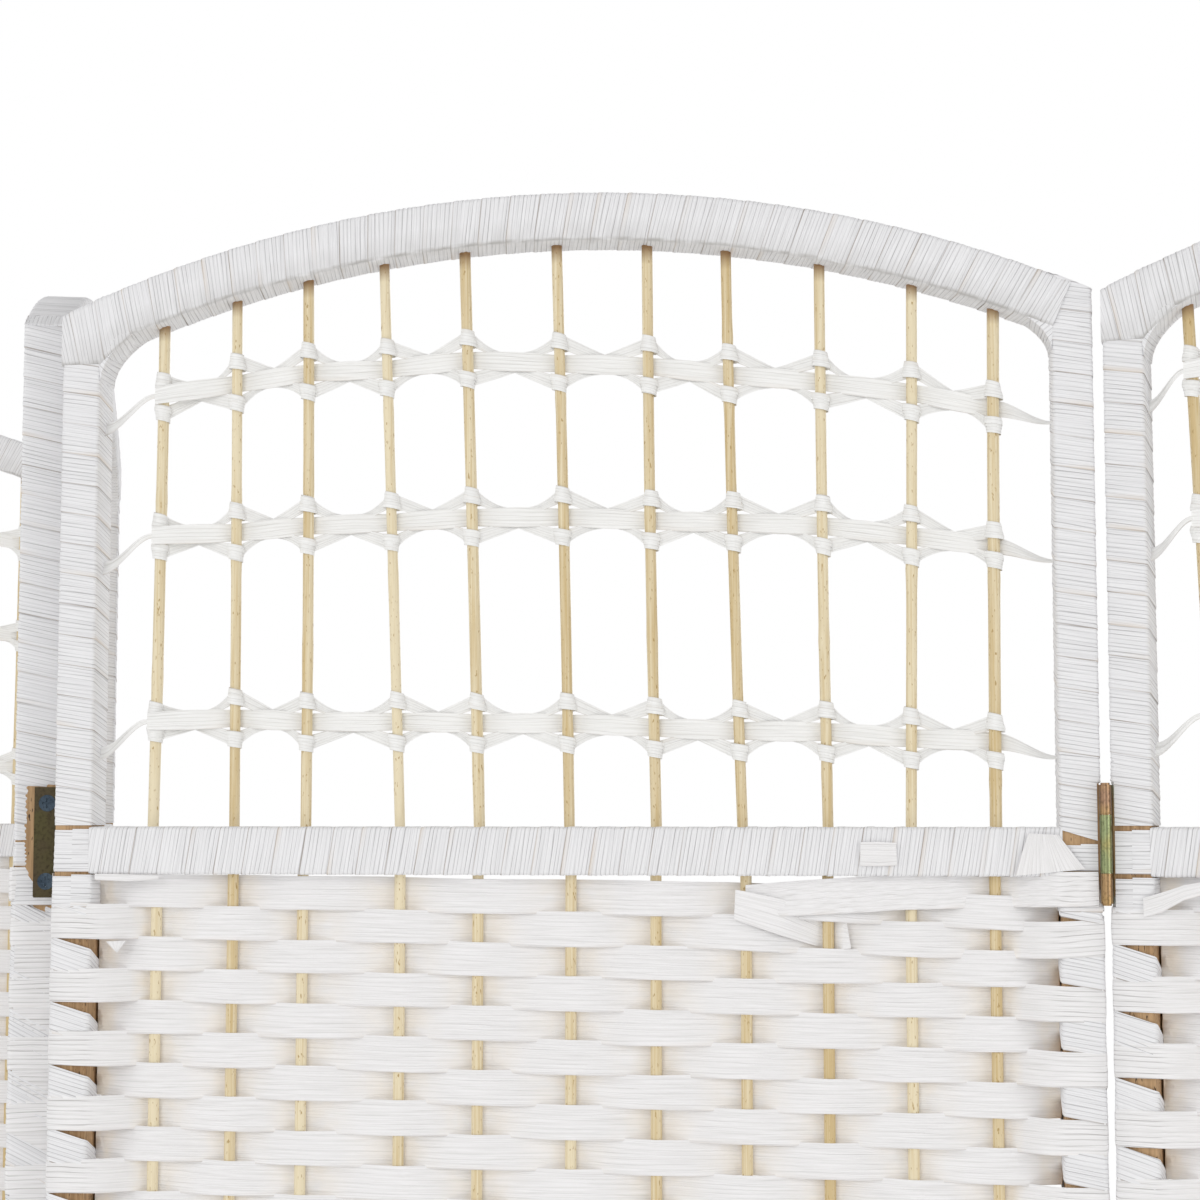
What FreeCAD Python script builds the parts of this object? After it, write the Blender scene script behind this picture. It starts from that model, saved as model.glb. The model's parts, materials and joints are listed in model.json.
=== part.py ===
"""Folding room divider: four wooden panels bound and woven with paper ribbon, on butt hinges.

Lengths are in millimetres and angles in degrees. Each panel is drawn in its own frame: X runs
across it from its middle, Y from its front face to its back, and Z up from the floor.
"""
import FreeCAD, Part
import math
import os

# Panel frame, measured over the ribbon binding.
panel_width = 450.0
panel_height = 1700.0
panel_depth = 21.0
stile_width = 17.2
arch_rise = 48.5
arch_bar_height = 20.5
lattice_rise = 275.0
mid_rail_height = 20.6
bottom_rail_top = 111.0
bottom_rail_height = 20.6
wrap_thickness = 0.8
bare_foot = 12.0

# Joints of the frame: stub tenons on the rails, in mortises of the stiles.
tenon_length = 5.0
tenon_shoulder = 4.0
mortise_clearance = 0.1

# Bamboo rods. The rods stand evenly across the panel, and each leans a little by hand.
rod_count = 11
rod_diameter = 4.8
rod_margin = 26.3
rod_socket_depth = 6.0
rod_clearance = 0.05
rod_gauge_height = 215.0
lower_rod_drift = (0.4, -1.8, -7.0, -0.4, -2.5, 1.6, 1.9, 4.1, 2.5, 1.1, -0.1)
upper_foot_drift = (-1.8, -1.6, -6.0, -0.6, -2.0, 0.9, 2.2, 2.8, 2.8, 1.5, 0.7)
upper_head_drift = (-0.1, -3.2, -7.2, -8.3, -8.5, -4.2, -0.9, -2.5, 1.1, 4.0, 2.4)
first_rod_lean = {1: 0.0, 2: 0.0, 3: 0.0, 4: -9.0}

# Knotted lace bands on the upper rods: the top one hangs under the arch, the lowest stands over the
# mid rail, and each was tied by hand, so it drifts up and down from rod to rod.
lace_headroom = 11.87
lace_step = 66.0
lowest_lace_height = 45.5
top_lace_drift = (-6.5, -0.6, 3.6, 4.5, 7.7, 5.3, 3.2, -1.4, -5.2, -10.8, -18.4)
middle_lace_drift = (-3.0, -1.3, 1.2, 2.2, 3.8, 3.5, 1.3, 0.0, -2.0, -7.0, -11.7)
lowest_lace_drift = (0.5, 2.0, 0.1, 0.1, -0.7, -0.9, -3.0, -4.5, -5.1, -8.0, -9.4)
lace_core_width = 11.0
lace_thickness = 0.6
lace_rod_gap = 0.1
knot_spacing = 18.6
knot_length = 8.0
knot_wall = 1.1
left_tail_drop = 14.0
left_tail_width = 5.0
right_tail_drop = 7.0
right_tail_width = 2.4

# Woven ribbon rows on the lower rods.
ribbon_width = 13.5
ribbon_thickness = 0.7
ribbon_rod_gap = 0.1
row_gap = 0.3
edge_swing = 3.0

# Butt hinges. Each is set by its middle height.
upper_hinge_drop = 7.0
middle_hinge_height = 850.0
lower_hinge_height = 280.0
hinge_length = 49.0
hinge_gap = 3.0
barrel_diameter = 5.0
barrel_stand_off = 0.4
middle_knuckle = 24.0
knuckle_play = 0.15
leaf_reach = 15.0
leaf_thickness = 1.1
leaf_window_margin = 1.0
pin_diameter = 2.6
pin_clearance = 0.04
pin_head_diameter = 3.8
pin_head_height = 0.8

# Countersunk screws with a cross recess.
screw_diameter = 3.4
screw_head_diameter = 7.4
screw_length = 10.0
screw_tip = 2.5
screw_edge_margin = 5.6
screw_end_margin = 7.15
screw_proud = 0.3
screw_clearance = 0.05
recess_length = 4.4
recess_width = 1.0
recess_depth = 1.5

# How far each joint is folded as the screen stands.
fold_12 = 75.0
fold_23 = 75.0
fold_34 = 15.7

# Derived sizes.
half_width = panel_width / 2
inner_half = half_width - stile_width
wood_inner_half = inner_half + wrap_thickness
middle_y = panel_depth / 2
rod_radius = rod_diameter / 2
arch_radius = (half_width ** 2 + arch_rise ** 2) / (2 * arch_rise)
arch_centre = panel_height - arch_radius
arch_under_radius = arch_radius - arch_bar_height
mid_rail_top = panel_height - lattice_rise
mid_rail_bottom = mid_rail_top - mid_rail_height
rod_spacing = 2 * (inner_half - rod_margin) / (rod_count - 1)
axis_offset = barrel_diameter / 2 + barrel_stand_off
panel_pitch = panel_width + hinge_gap
upper_hinge_height = mid_rail_top - upper_hinge_drop
hinge_heights = (upper_hinge_height, middle_hinge_height, lower_hinge_height)

UP = FreeCAD.Vector(0, 0, 1)
ACROSS = FreeCAD.Vector(1, 0, 0)
DEEP = FreeCAD.Vector(0, 1, 0)


def vec(x, y, z):
    return FreeCAD.Vector(x, y, z)


def block(x0, x1, y0, y1, z0, z1):
    """A box between two corners."""
    return Part.makeBox(x1 - x0, y1 - y0, z1 - z0, vec(x0, y0, z0))


def rod_between(foot, head, radius):
    """A round bar from one point to another."""
    axis = head - foot
    return Part.makeCylinder(radius, axis.Length, foot, axis)


def plate(points, y0, thickness):
    """A flat plate from an outline of (x, z) points, laid upright and grown towards the back."""
    corners = [vec(x, y0, z) for x, z in points]
    outline = Part.makePolygon(corners + corners[:1])
    return Part.Face(outline).extrude(DEEP * thickness)


def arch_height_at(x, radius):
    """Height of an arch line of this radius at a place across the panel."""
    return arch_centre + math.sqrt(radius ** 2 - x ** 2)


def arch_band(outer, inner, y0, y1, half):
    """A curved bar between two arch lines, cut off upright at both ends."""
    def line_points(radius, start, end):
        return [vec(x, y0, arch_height_at(x, radius)) for x in (start, 0.0, end)]

    top = line_points(outer, -half, half)
    under = line_points(inner, half, -half)
    edges = [
        Part.Arc(*top).toShape(),
        Part.makeLine(top[2], under[0]),
        Part.Arc(*under).toShape(),
        Part.makeLine(under[2], top[0]),
    ]
    return Part.Face(Part.Wire(edges)).extrude(DEEP * (y1 - y0))


def above_arch(radius):
    """Everything over an arch line, for trimming what reaches up to it."""
    lowest = panel_height - 3 * arch_rise - arch_bar_height
    over = block(-panel_width, panel_width, -panel_depth, 2 * panel_depth, lowest, 2 * panel_height)
    round_bar = Part.makeCylinder(radius, 4 * panel_depth, vec(0, -2 * panel_depth, arch_centre), DEEP)
    return over.cut(round_bar)


def even_rod_x(index):
    return -inner_half + rod_margin + index * rod_spacing


def drift(values, index):
    return values[index % len(values)]


def lower_rod_x(index):
    return even_rod_x(index) + drift(lower_rod_drift, index)


def upper_rod_line(panel, index):
    """Two points on the line of an upper rod: at the mid rail, and one gauge height over it."""
    lean = first_rod_lean[panel] if index == 0 else 0.0
    foot_x = even_rod_x(index) + drift(upper_foot_drift, index)
    head_x = even_rod_x(index) + drift(upper_head_drift, index) + lean
    foot = vec(foot_x, middle_y, mid_rail_top)
    head = vec(head_x, middle_y, mid_rail_top + rod_gauge_height)
    return foot, head


def at_height(line, z):
    foot, head = line
    return foot + (head - foot) * ((z - foot.z) / (head.z - foot.z))


def upper_rod_ends(line):
    """Where an upper rod ends, inside its sockets in the mid rail and the arch rail."""
    low = at_height(line, mid_rail_top - wrap_thickness - rod_socket_depth)
    near_top = at_height(line, panel_height - arch_rise).x
    under = arch_height_at(near_top, arch_under_radius + wrap_thickness)
    return low, at_height(line, under + rod_socket_depth)


def lower_rod_ends(index):
    x = lower_rod_x(index)
    low = vec(x, middle_y, bottom_rail_top - wrap_thickness - rod_socket_depth)
    high = vec(x, middle_y, mid_rail_bottom + wrap_thickness + rod_socket_depth)
    return low, high


def all_rod_ends(panel):
    upper = [upper_rod_ends(upper_rod_line(panel, i)) for i in range(rod_count)]
    lower = [lower_rod_ends(i) for i in range(rod_count)]
    return upper, lower


def rods(ends):
    return [rod_between(low, high, rod_radius) for low, high in ends]


def rod_sockets(panel):
    """The room of every rod with its clearance, for boring the rails and their binding."""
    upper, lower = all_rod_ends(panel)
    bores = []
    for low, high in upper + lower:
        step = (high - low).normalize() * rod_clearance
        bores.append(rod_between(low - step, high + step, rod_radius + rod_clearance))
    return Part.makeCompound(bores)


def straight_rail(top, height):
    """Wood of a straight rail with its two tenons."""
    wood_y1 = panel_depth - wrap_thickness
    low = top - height + wrap_thickness
    high = top - wrap_thickness
    body = block(-wood_inner_half, wood_inner_half, wrap_thickness, wood_y1, low, high)
    return body.fuse(rail_tenons(low, high, 0.0)).removeSplitter()


def rail_tenons(low, high, clearance):
    """The stub tenons of a straight rail, grown by a clearance where they cut mortises."""
    reach = wood_inner_half + tenon_length + clearance
    inset = tenon_shoulder - clearance
    y0 = wrap_thickness + inset
    y1 = panel_depth - wrap_thickness - inset
    return block(-reach, reach, y0, y1, low + inset, high - inset)


def arch_wood():
    """Wood of the arch rail with its two tenons."""
    outer = arch_radius - wrap_thickness
    inner = arch_under_radius + wrap_thickness
    body = arch_band(outer, inner, wrap_thickness, panel_depth - wrap_thickness, wood_inner_half)
    return body.fuse(arch_tenons(0.0)).removeSplitter()


def arch_tenons(clearance):
    inset = tenon_shoulder - clearance
    outer = arch_radius - wrap_thickness - inset
    inner = arch_under_radius + wrap_thickness + inset
    y0 = wrap_thickness + inset
    y1 = panel_depth - wrap_thickness - inset
    return arch_band(outer, inner, y0, y1, wood_inner_half + tenon_length + clearance)


def mortises():
    """The room that all rail tenons of a panel take in its stiles."""
    low_mid = mid_rail_bottom + wrap_thickness
    low_bottom = bottom_rail_top - bottom_rail_height + wrap_thickness
    return Part.makeCompound([
        rail_tenons(low_mid, mid_rail_top - wrap_thickness, mortise_clearance),
        rail_tenons(low_bottom, bottom_rail_top - wrap_thickness, mortise_clearance),
        arch_tenons(mortise_clearance),
    ])


def rail_wrap(top, height):
    """Ribbon sleeve of a straight rail, between the bound stiles."""
    outside = block(-inner_half, inner_half, 0, panel_depth, top - height, top)
    wood = block(
        -panel_width, panel_width, wrap_thickness, panel_depth - wrap_thickness,
        top - height + wrap_thickness, top - wrap_thickness)
    return outside.cut(wood)


def arch_wrap():
    """Ribbon sleeve of the arch rail, between the bound stiles."""
    outside = arch_band(arch_radius, arch_under_radius, 0, panel_depth, inner_half)
    wood = arch_band(
        arch_radius - wrap_thickness, arch_under_radius + wrap_thickness,
        wrap_thickness, panel_depth - wrap_thickness, wood_inner_half)
    return outside.cut(wood)


def stile(side):
    """Wood of one stile, before its hinge screws: side is -1 for left and 1 for right."""
    x0, x1 = sorted((side * wood_inner_half, side * (half_width - wrap_thickness)))
    wood = block(x0, x1, wrap_thickness, panel_depth - wrap_thickness, 0, panel_height)
    return wood.cut(above_arch(arch_radius - wrap_thickness)).cut(mortises())


def stile_wrap(side, rail_woods):
    """Ribbon sleeve of one stile, open where the rails pass into the wood."""
    x0, x1 = sorted((side * inner_half, side * half_width))
    outside = block(x0, x1, 0, panel_depth, bare_foot, panel_height)
    wood = block(
        x0 + wrap_thickness, x1 - wrap_thickness, wrap_thickness, panel_depth - wrap_thickness,
        0, panel_height)
    sleeve = outside.cut(wood).cut(above_arch(arch_radius - wrap_thickness))
    return sleeve.cut(Part.makeCompound(rail_woods))


def lace_bands():
    """Height and drift from rod to rod of the three lace bands, from the top one down."""
    under_arch = arch_height_at(even_rod_x(0), arch_under_radius)
    top = under_arch - lace_headroom - (knot_spacing + knot_length) / 2
    return (
        (top, top_lace_drift),
        (top - lace_step, middle_lace_drift),
        (mid_rail_top + lowest_lace_height, lowest_lace_drift),
    )


def lace_band(panel, height, drifts):
    """One knotted band: a waisted ribbon behind the rods, with two knots round each rod."""
    lines = [upper_rod_line(panel, i) for i in range(rod_count)]
    levels = [height + drift(drifts, i) for i in range(rod_count)]
    places = [at_height(line, level).x for line, level in zip(lines, levels)]
    knot = knot_spacing / 2
    waist = lace_core_width / 2
    upper_edge = [(places[0], levels[0] + knot)]
    lower_edge = [(places[0], levels[0] - knot)]
    for i in range(1, rod_count):
        centre = (places[i - 1] + places[i]) / 2
        level = (levels[i - 1] + levels[i]) / 2
        upper_edge += [(centre, level + waist), (places[i], levels[i] + knot)]
        lower_edge += [(centre, level - waist), (places[i], levels[i] - knot)]
    back_y = middle_y + rod_radius + lace_rod_gap
    ribbon = plate(upper_edge + lower_edge[::-1], back_y, lace_thickness)
    left_z = levels[0] - left_tail_drop
    left_tail = plate([
        (places[0], levels[0] + waist / 2), (places[0], levels[0] - waist / 2),
        (-inner_half, left_z - left_tail_width / 2), (-inner_half, left_z + left_tail_width / 2),
    ], back_y, lace_thickness)
    right_z = levels[-1] - right_tail_drop
    right_tail = plate([
        (places[-1], levels[-1] + waist / 2), (places[-1], levels[-1] - waist / 2),
        (inner_half, right_z - right_tail_width / 2), (inner_half, right_z + right_tail_width / 2),
    ], back_y, lace_thickness)
    knots = []
    bores = []
    for line, level in zip(lines, levels):
        along = (line[1] - line[0]).normalize()
        for side in (-1, 1):
            centre = at_height(line, level + side * knot)
            foot = centre - along * (knot_length / 2)
            head = centre + along * (knot_length / 2)
            knots.append(rod_between(foot, head, rod_radius + knot_wall))
        low = at_height(line, level - knot_spacing)
        high = at_height(line, level + knot_spacing)
        bores.append(rod_between(low, high, rod_radius + rod_clearance))
    band = ribbon.fuse([left_tail, right_tail] + knots)
    return band.cut(Part.makeCompound(bores)).removeSplitter()


def weave_swing(places):
    """How far a ribbon's middle line stands off a rod's middle, so that its slopes clear the rod."""
    clear = rod_radius + ribbon_rod_gap + ribbon_thickness / 2
    closest = min(b - a for a, b in zip(places, places[1:]))
    swing = clear
    for _ in range(12):
        swing = clear * math.hypot(1, 2 * swing / closest)
    return swing


def ribbon_outline(path):
    """Both edges of a ribbon of even thickness along a path of (x, y) points, with upright ends."""
    half = ribbon_thickness / 2
    slopes = [math.atan2(b[1] - a[1], b[0] - a[0]) for a, b in zip(path, path[1:])]
    front = []
    back = []
    for i, (x, y) in enumerate(path):
        if i in (0, len(path) - 1):
            shift = (0.0, half / math.cos(slopes[min(i, len(slopes) - 1)]))
        else:
            turn = (slopes[i - 1] + slopes[i]) / 2
            mitre = half / math.cos((slopes[i] - slopes[i - 1]) / 2)
            shift = (-mitre * math.sin(turn), mitre * math.cos(turn))
        back.append((x + shift[0], y + shift[1]))
        front.append((x - shift[0], y - shift[1]))
    return front + back[::-1]


def weave_rows():
    """All woven rows of a panel, each passing in front of and behind the rods by turns."""
    places = [lower_rod_x(i) for i in range(rod_count)]
    swing = weave_swing(places)
    room = mid_rail_bottom - bottom_rail_top
    count = int(room // ribbon_width)
    pitch = room / count
    patterns = []
    for first_side in (-1, 1):
        path = [(-inner_half, middle_y - first_side * edge_swing)]
        for i, x in enumerate(places):
            path.append((x, middle_y + first_side * swing * (-1) ** i))
        path.append((inner_half, middle_y + first_side * edge_swing * (-1) ** rod_count))
        corners = [vec(x, y, bottom_rail_top + row_gap / 2) for x, y in ribbon_outline(path)]
        face = Part.Face(Part.makePolygon(corners + corners[:1]))
        patterns.append(face.extrude(UP * (pitch - row_gap)))
    rows = []
    for row in range(count):
        ribbon = patterns[row % 2].copy()
        ribbon.translate(UP * (row * pitch))
        rows.append(ribbon)
    return rows


def screw_body(clearance):
    """A screw along -X with its head's rim at X = 0, grown by a clearance on every side."""
    shank = screw_diameter / 2 + clearance
    head = screw_head_diameter / 2 + clearance
    profile = [
        (0, 0), (0, head), (shank - head, shank),
        (screw_tip - screw_length, shank), (-screw_length - clearance, 0),
    ]
    corners = [vec(x, r, 0) for x, r in profile]
    face = Part.Face(Part.makePolygon(corners + corners[:1]))
    return face.revolve(vec(0, 0, 0), ACROSS, 360)


def screw():
    return screw_body(0.0).cut(cross_recess())


def screw_hole():
    return screw_body(screw_clearance)


def cross_recess():
    half = recess_length / 2
    thin = recess_width / 2
    flat = block(-recess_depth, recess_depth, -half, half, -thin, thin)
    tall = block(-recess_depth, recess_depth, -thin, thin, -half, half)
    return flat.fuse(tall)


def place_screws(shape):
    """Copies of a screw shape in the two holes of a leaf that lies on the hinge's -X side."""
    rim = -hinge_gap / 2 - wrap_thickness + leaf_thickness + screw_proud
    spacing = hinge_length - 2 * screw_end_margin
    copies = []
    for side in (-1, 1):
        copy = shape.copy()
        copy.translate(vec(rim, leaf_reach - screw_edge_margin, side * spacing / 2))
        copies.append(copy)
    return copies


def knuckle_spans():
    """Heights of the outer knuckles and of the middle knuckle about the hinge's middle."""
    half = hinge_length / 2
    inner = middle_knuckle / 2
    outer = [(-half, -inner - knuckle_play), (inner + knuckle_play, half)]
    return outer, [(-inner, inner)]


def barrel(span, radius):
    low, high = span
    return Part.makeCylinder(radius, high - low, vec(0, 0, low), UP)


def leaf(spans, other_spans):
    """A leaf on the hinge's -X side, with knuckles on the pin at the origin."""
    back = -hinge_gap / 2 - wrap_thickness
    half = hinge_length / 2
    body = block(back, back + leaf_thickness, 0, leaf_reach, -half, half)
    for low, high in other_spans:
        gap = (low - knuckle_play, high + knuckle_play)
        body = body.cut(barrel(gap, axis_offset))
    body = body.fuse([barrel(span, barrel_diameter / 2) for span in spans])
    bore = barrel((-half, half), pin_diameter / 2 + pin_clearance)
    holes = place_screws(screw_hole())
    return body.cut(Part.makeCompound([bore] + holes)).removeSplitter()


def pin():
    """A hinge pin with a small head at either end."""
    half = hinge_length / 2
    shaft = barrel((-half, half), pin_diameter / 2)
    heads = [
        barrel((half, half + pin_head_height), pin_head_diameter / 2),
        barrel((-half - pin_head_height, -half), pin_head_diameter / 2),
    ]
    return shaft.fuse(heads).removeSplitter()


def hinge_axis(side, at_back):
    """Where a hinge's pin stands beside a panel: side is -1 for its left edge, 1 for its right."""
    y = panel_depth + axis_offset if at_back else -axis_offset
    return vec(side * (half_width + hinge_gap / 2), y, 0)


def hinge_turn(side, at_back):
    """Turns a leaf drawn for a right edge with the barrel in front to the edge it serves."""
    if side > 0:
        return FreeCAD.Rotation(ACROSS, 180) if at_back else FreeCAD.Rotation()
    return FreeCAD.Rotation(UP, 180) if at_back else FreeCAD.Rotation(DEEP, 180)


def on_hinges(shapes, side, at_back):
    """Copies of hinge shapes at all three heights beside a panel's edge."""
    copies = []
    for height in hinge_heights:
        spot = FreeCAD.Placement(hinge_axis(side, at_back) + UP * height, hinge_turn(side, at_back))
        copies += [moved(shape, spot) for shape in shapes]
    return copies


def leaf_window():
    """The opening in a stile's binding that a leaf on the hinge's -X side lies in."""
    half = hinge_length / 2 + leaf_window_margin
    outer = -hinge_gap / 2
    return block(outer - wrap_thickness, 0, 0, leaf_reach + leaf_window_margin, -half, half)


def moved(shape, placement):
    copy = shape.copy()
    copy.Placement = placement.multiply(copy.Placement)
    return copy


def turn_about(point, angle):
    return FreeCAD.Placement(vec(0, 0, 0), FreeCAD.Rotation(UP, angle), point)


def panel_placements():
    """Where each panel's own frame stands, with the origin on the floor amid the whole screen."""
    beside = vec(panel_pitch, 0, 0)
    third = FreeCAD.Placement()
    next_step = FreeCAD.Placement(beside, FreeCAD.Rotation())
    back_step = FreeCAD.Placement(-beside, FreeCAD.Rotation())
    fourth = turn_about(hinge_axis(1, False), -fold_34).multiply(next_step)
    second = turn_about(hinge_axis(-1, True), -fold_23).multiply(back_step)
    first = second.multiply(turn_about(hinge_axis(-1, False), fold_12)).multiply(back_step)
    places = {1: first, 2: second, 3: third, 4: fourth}
    corners = [vec(x, y, 0) for x in (-half_width, half_width) for y in (0, panel_depth)]
    spread = [place.multVec(corner) for place in places.values() for corner in corners]
    centre_x = (min(p.x for p in spread) + max(p.x for p in spread)) / 2
    centre_y = (min(p.y for p in spread) + max(p.y for p in spread)) / 2
    centring = FreeCAD.Placement(vec(-centre_x, -centre_y, 0), FreeCAD.Rotation())
    return {number: centring.multiply(place) for number, place in places.items()}


# Each joint: the panel that carries it, the panel that swings, the carrier's edge, the barrel's side.
hinge_lines = {
    "hinge_12": (2, 1, -1, False),
    "hinge_23": (3, 2, -1, True),
    "hinge_34": (3, 4, 1, False),
}


def hinged_edges(panel):
    """The edges of a panel that carry leaves, as (side, barrel at the back)."""
    edges = []
    for carrier, swinger, side, at_back in hinge_lines.values():
        if panel == carrier:
            edges.append((side, at_back))
        if panel == swinger:
            edges.append((-side, at_back))
    return edges


def build_panel(panel):
    """All pieces of one panel in its own frame, by name."""
    upper_ends, lower_ends = all_rod_ends(panel)
    sockets = rod_sockets(panel)
    arch = arch_wood()
    mid_rail = straight_rail(mid_rail_top, mid_rail_height)
    bottom_rail = straight_rail(bottom_rail_top, bottom_rail_height)
    windows = []
    pilot_holes = []
    for side, at_back in hinged_edges(panel):
        windows += on_hinges([leaf_window()], side, at_back)
        pilot_holes += on_hinges(place_screws(screw_hole()), side, at_back)
    rail_woods = [arch, mid_rail, bottom_rail]
    sleeves = [stile_wrap(side, rail_woods).cut(Part.makeCompound(windows)) for side in (-1, 1)]
    rail_sleeves = [
        arch_wrap(),
        rail_wrap(mid_rail_top, mid_rail_height),
        rail_wrap(bottom_rail_top, bottom_rail_height),
    ]
    drilled = Part.makeCompound(pilot_holes)
    return {
        "left_stile": [stile(-1).cut(drilled)],
        "right_stile": [stile(1).cut(drilled)],
        "arch_rail": [arch.cut(sockets)],
        "mid_rail": [mid_rail.cut(sockets)],
        "bottom_rail": [bottom_rail.cut(sockets)],
        "upper_rods": rods(upper_ends),
        "lower_rods": rods(lower_ends),
        "stile_wraps": sleeves,
        "rail_wraps": [sleeve.cut(sockets) for sleeve in rail_sleeves],
        "lace": [lace_band(panel, height, drifts) for height, drifts in lace_bands()],
        "weave": weave_rows(),
    }


def build_hinges(name, places):
    """Leaves, pins and screws of one joint, already in place, by name."""
    carrier, swinger, side, at_back = hinge_lines[name]
    outer, middle = knuckle_spans()
    sets = {carrier: (leaf(outer, middle), side), swinger: (leaf(middle, outer), -side)}
    pieces = {}
    for panel, (shape, edge) in sets.items():
        leaves = on_hinges([shape], edge, at_back)
        screws = on_hinges(place_screws(screw()), edge, at_back)
        pieces[f"{name}_leaves_panel_{panel}"] = [moved(piece, places[panel]) for piece in leaves]
        pieces[f"{name}_screws_panel_{panel}"] = [moved(piece, places[panel]) for piece in screws]
    pins = on_hinges([pin()], side, at_back)
    pieces[f"{name}_pins"] = [moved(piece, places[carrier]) for piece in pins]
    return pieces


def main():
    os.makedirs("parts", exist_ok=True)
    places = panel_placements()
    nodes = {}
    for panel, place in places.items():
        for name, solids in build_panel(panel).items():
            nodes[f"panel_{panel}_{name}"] = [moved(solid, place) for solid in solids]
    for name in hinge_lines:
        nodes.update(build_hinges(name, places))
    for name, solids in nodes.items():
        shape = solids[0] if len(solids) == 1 else Part.makeCompound(solids)
        shape.exportStep(f"parts/{name}.step")
        print(f"{name}: {len(shape.Solids)} solids, valid {shape.isValid()}")
    for name, (carrier, _, side, at_back) in hinge_lines.items():
        axis = places[carrier].multVec(hinge_axis(side, at_back))
        print(f"{name}: pin at x {axis.x:.3f}, y {axis.y:.3f}")
    for panel, place in places.items():
        foot = place.multVec(vec(0, middle_y, 0))
        turned = math.degrees(place.Rotation.Angle)
        print(f"panel_{panel}: middle at x {foot.x:.3f}, y {foot.y:.3f}, turned {turned:.2f}")


main()
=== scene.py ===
# %% [markdown]
# # A folding screen in white paper ribbon
# The wood, the rods and the hinges of this screen arrive packed, as a fixed frame in metres. Everything
# soft on it is one material used in four ways: a flat ribbon of creped paper that is wound round the
# wood, woven between the rods, tied into lace and left over in a few loose ends. The lesson builds that
# ribbon once, as a grid rolled into a thin closed strip, and then only changes the path that it follows.

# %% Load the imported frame
import json
import math
import random

import bmesh
import bpy
from mathutils import Matrix, Vector, noise


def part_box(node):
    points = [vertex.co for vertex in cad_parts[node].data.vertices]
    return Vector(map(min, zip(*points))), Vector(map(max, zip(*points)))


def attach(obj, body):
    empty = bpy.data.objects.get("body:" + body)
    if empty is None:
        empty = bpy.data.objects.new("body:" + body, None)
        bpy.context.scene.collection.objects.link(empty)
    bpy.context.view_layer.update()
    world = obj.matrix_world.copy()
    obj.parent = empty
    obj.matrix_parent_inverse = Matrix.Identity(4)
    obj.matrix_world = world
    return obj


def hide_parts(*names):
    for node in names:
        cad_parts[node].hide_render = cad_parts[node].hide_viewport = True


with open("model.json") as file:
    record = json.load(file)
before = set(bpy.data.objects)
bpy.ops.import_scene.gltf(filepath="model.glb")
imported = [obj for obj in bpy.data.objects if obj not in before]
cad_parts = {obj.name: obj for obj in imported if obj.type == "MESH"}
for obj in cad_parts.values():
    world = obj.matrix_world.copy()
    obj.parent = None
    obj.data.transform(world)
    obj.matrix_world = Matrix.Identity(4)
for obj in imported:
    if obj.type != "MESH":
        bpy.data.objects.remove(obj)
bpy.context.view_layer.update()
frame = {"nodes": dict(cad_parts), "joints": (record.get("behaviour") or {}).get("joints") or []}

# %% [markdown]
# ## Four panels, one drawing
# All four panels are made alike, so each piece is modelled in the panel's own frame, in millimetres: X
# across from the middle, Y from the front face to the back, Z up. A matrix for each panel then carries
# the finished mesh to where that panel stands. The third panel stands square in the frame, and the
# others follow from it, by the pins of the hinges and the angle that each hinge is folded by.

# %% Where each panel stands
MM = 0.001
wrap_low, wrap_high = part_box("panel_3_stile_wraps")
panel_width = round((wrap_high.x - wrap_low.x) / MM, 1)
panel_depth = round((wrap_high.y - wrap_low.y) / MM, 1)
pins = {joint["name"]: Vector(joint["pos_m"]) for joint in frame["joints"]}
folds = {joint["name"]: math.radians(-joint["range_deg"][0]) for joint in frame["joints"]}


def turned_at(pin, angle):
    """A turn about the upright line through a hinge pin."""
    return Matrix.Translation(pins[pin]) @ Matrix.Rotation(angle, 4, "Z") @ Matrix.Translation(-pins[pin])


next_panel = Matrix.Translation((pins["hinge_34"].x - pins["hinge_23"].x, 0, 0))
third = Matrix.Translation(((wrap_low.x + wrap_high.x) / 2, wrap_low.y, 0))
fourth = turned_at("hinge_34", -folds["hinge_34"]) @ third @ next_panel
second = turned_at("hinge_23", -folds["hinge_23"]) @ third @ next_panel.inverted()
first = turned_at("hinge_12", folds["hinge_12"]) @ second @ next_panel.inverted()
in_metres = Matrix.Scale(MM, 4)
stands = {1: first @ in_metres, 2: second @ in_metres, 3: third @ in_metres, 4: fourth @ in_metres}
print("panel", panel_width, "by", panel_depth, "mm, folded by",
      {name: round(math.degrees(angle), 1) for name, angle in folds.items()})

# %% [markdown]
# ## The camera
# The photograph is taken close to the third panel, at the height of its mid rail and looking slightly up,
# with a lens about one and a half times as long as a normal one. The place and the two turns were found
# from the panel's edges, so the camera is set by them and not by eye.

# %% Camera
camera_from_panel = Vector((137.5, -1035.0, 1429.0))
camera_yaw = math.radians(-6.73)
camera_pitch = math.radians(5.09)
frame_pixels = 1200
focal_pixels = 2441.0

camera = bpy.data.objects.new("camera", bpy.data.cameras.new("camera"))
bpy.context.scene.collection.objects.link(camera)
bpy.context.scene.camera = camera
camera.data.sensor_width = 36.0
camera.data.lens = focal_pixels / frame_pixels * camera.data.sensor_width
camera.data.clip_start = 0.05
camera.location = stands[3] @ camera_from_panel
looks_to = Vector((math.sin(camera_yaw) * math.cos(camera_pitch),
                   math.cos(camera_yaw) * math.cos(camera_pitch), math.sin(camera_pitch)))
camera.rotation_mode = "QUATERNION"
camera.rotation_quaternion = looks_to.to_track_quat("-Z", "Y")
print("camera at", tuple(round(c, 3) for c in camera.location), "lens", round(camera.data.lens, 1), "mm")

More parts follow.
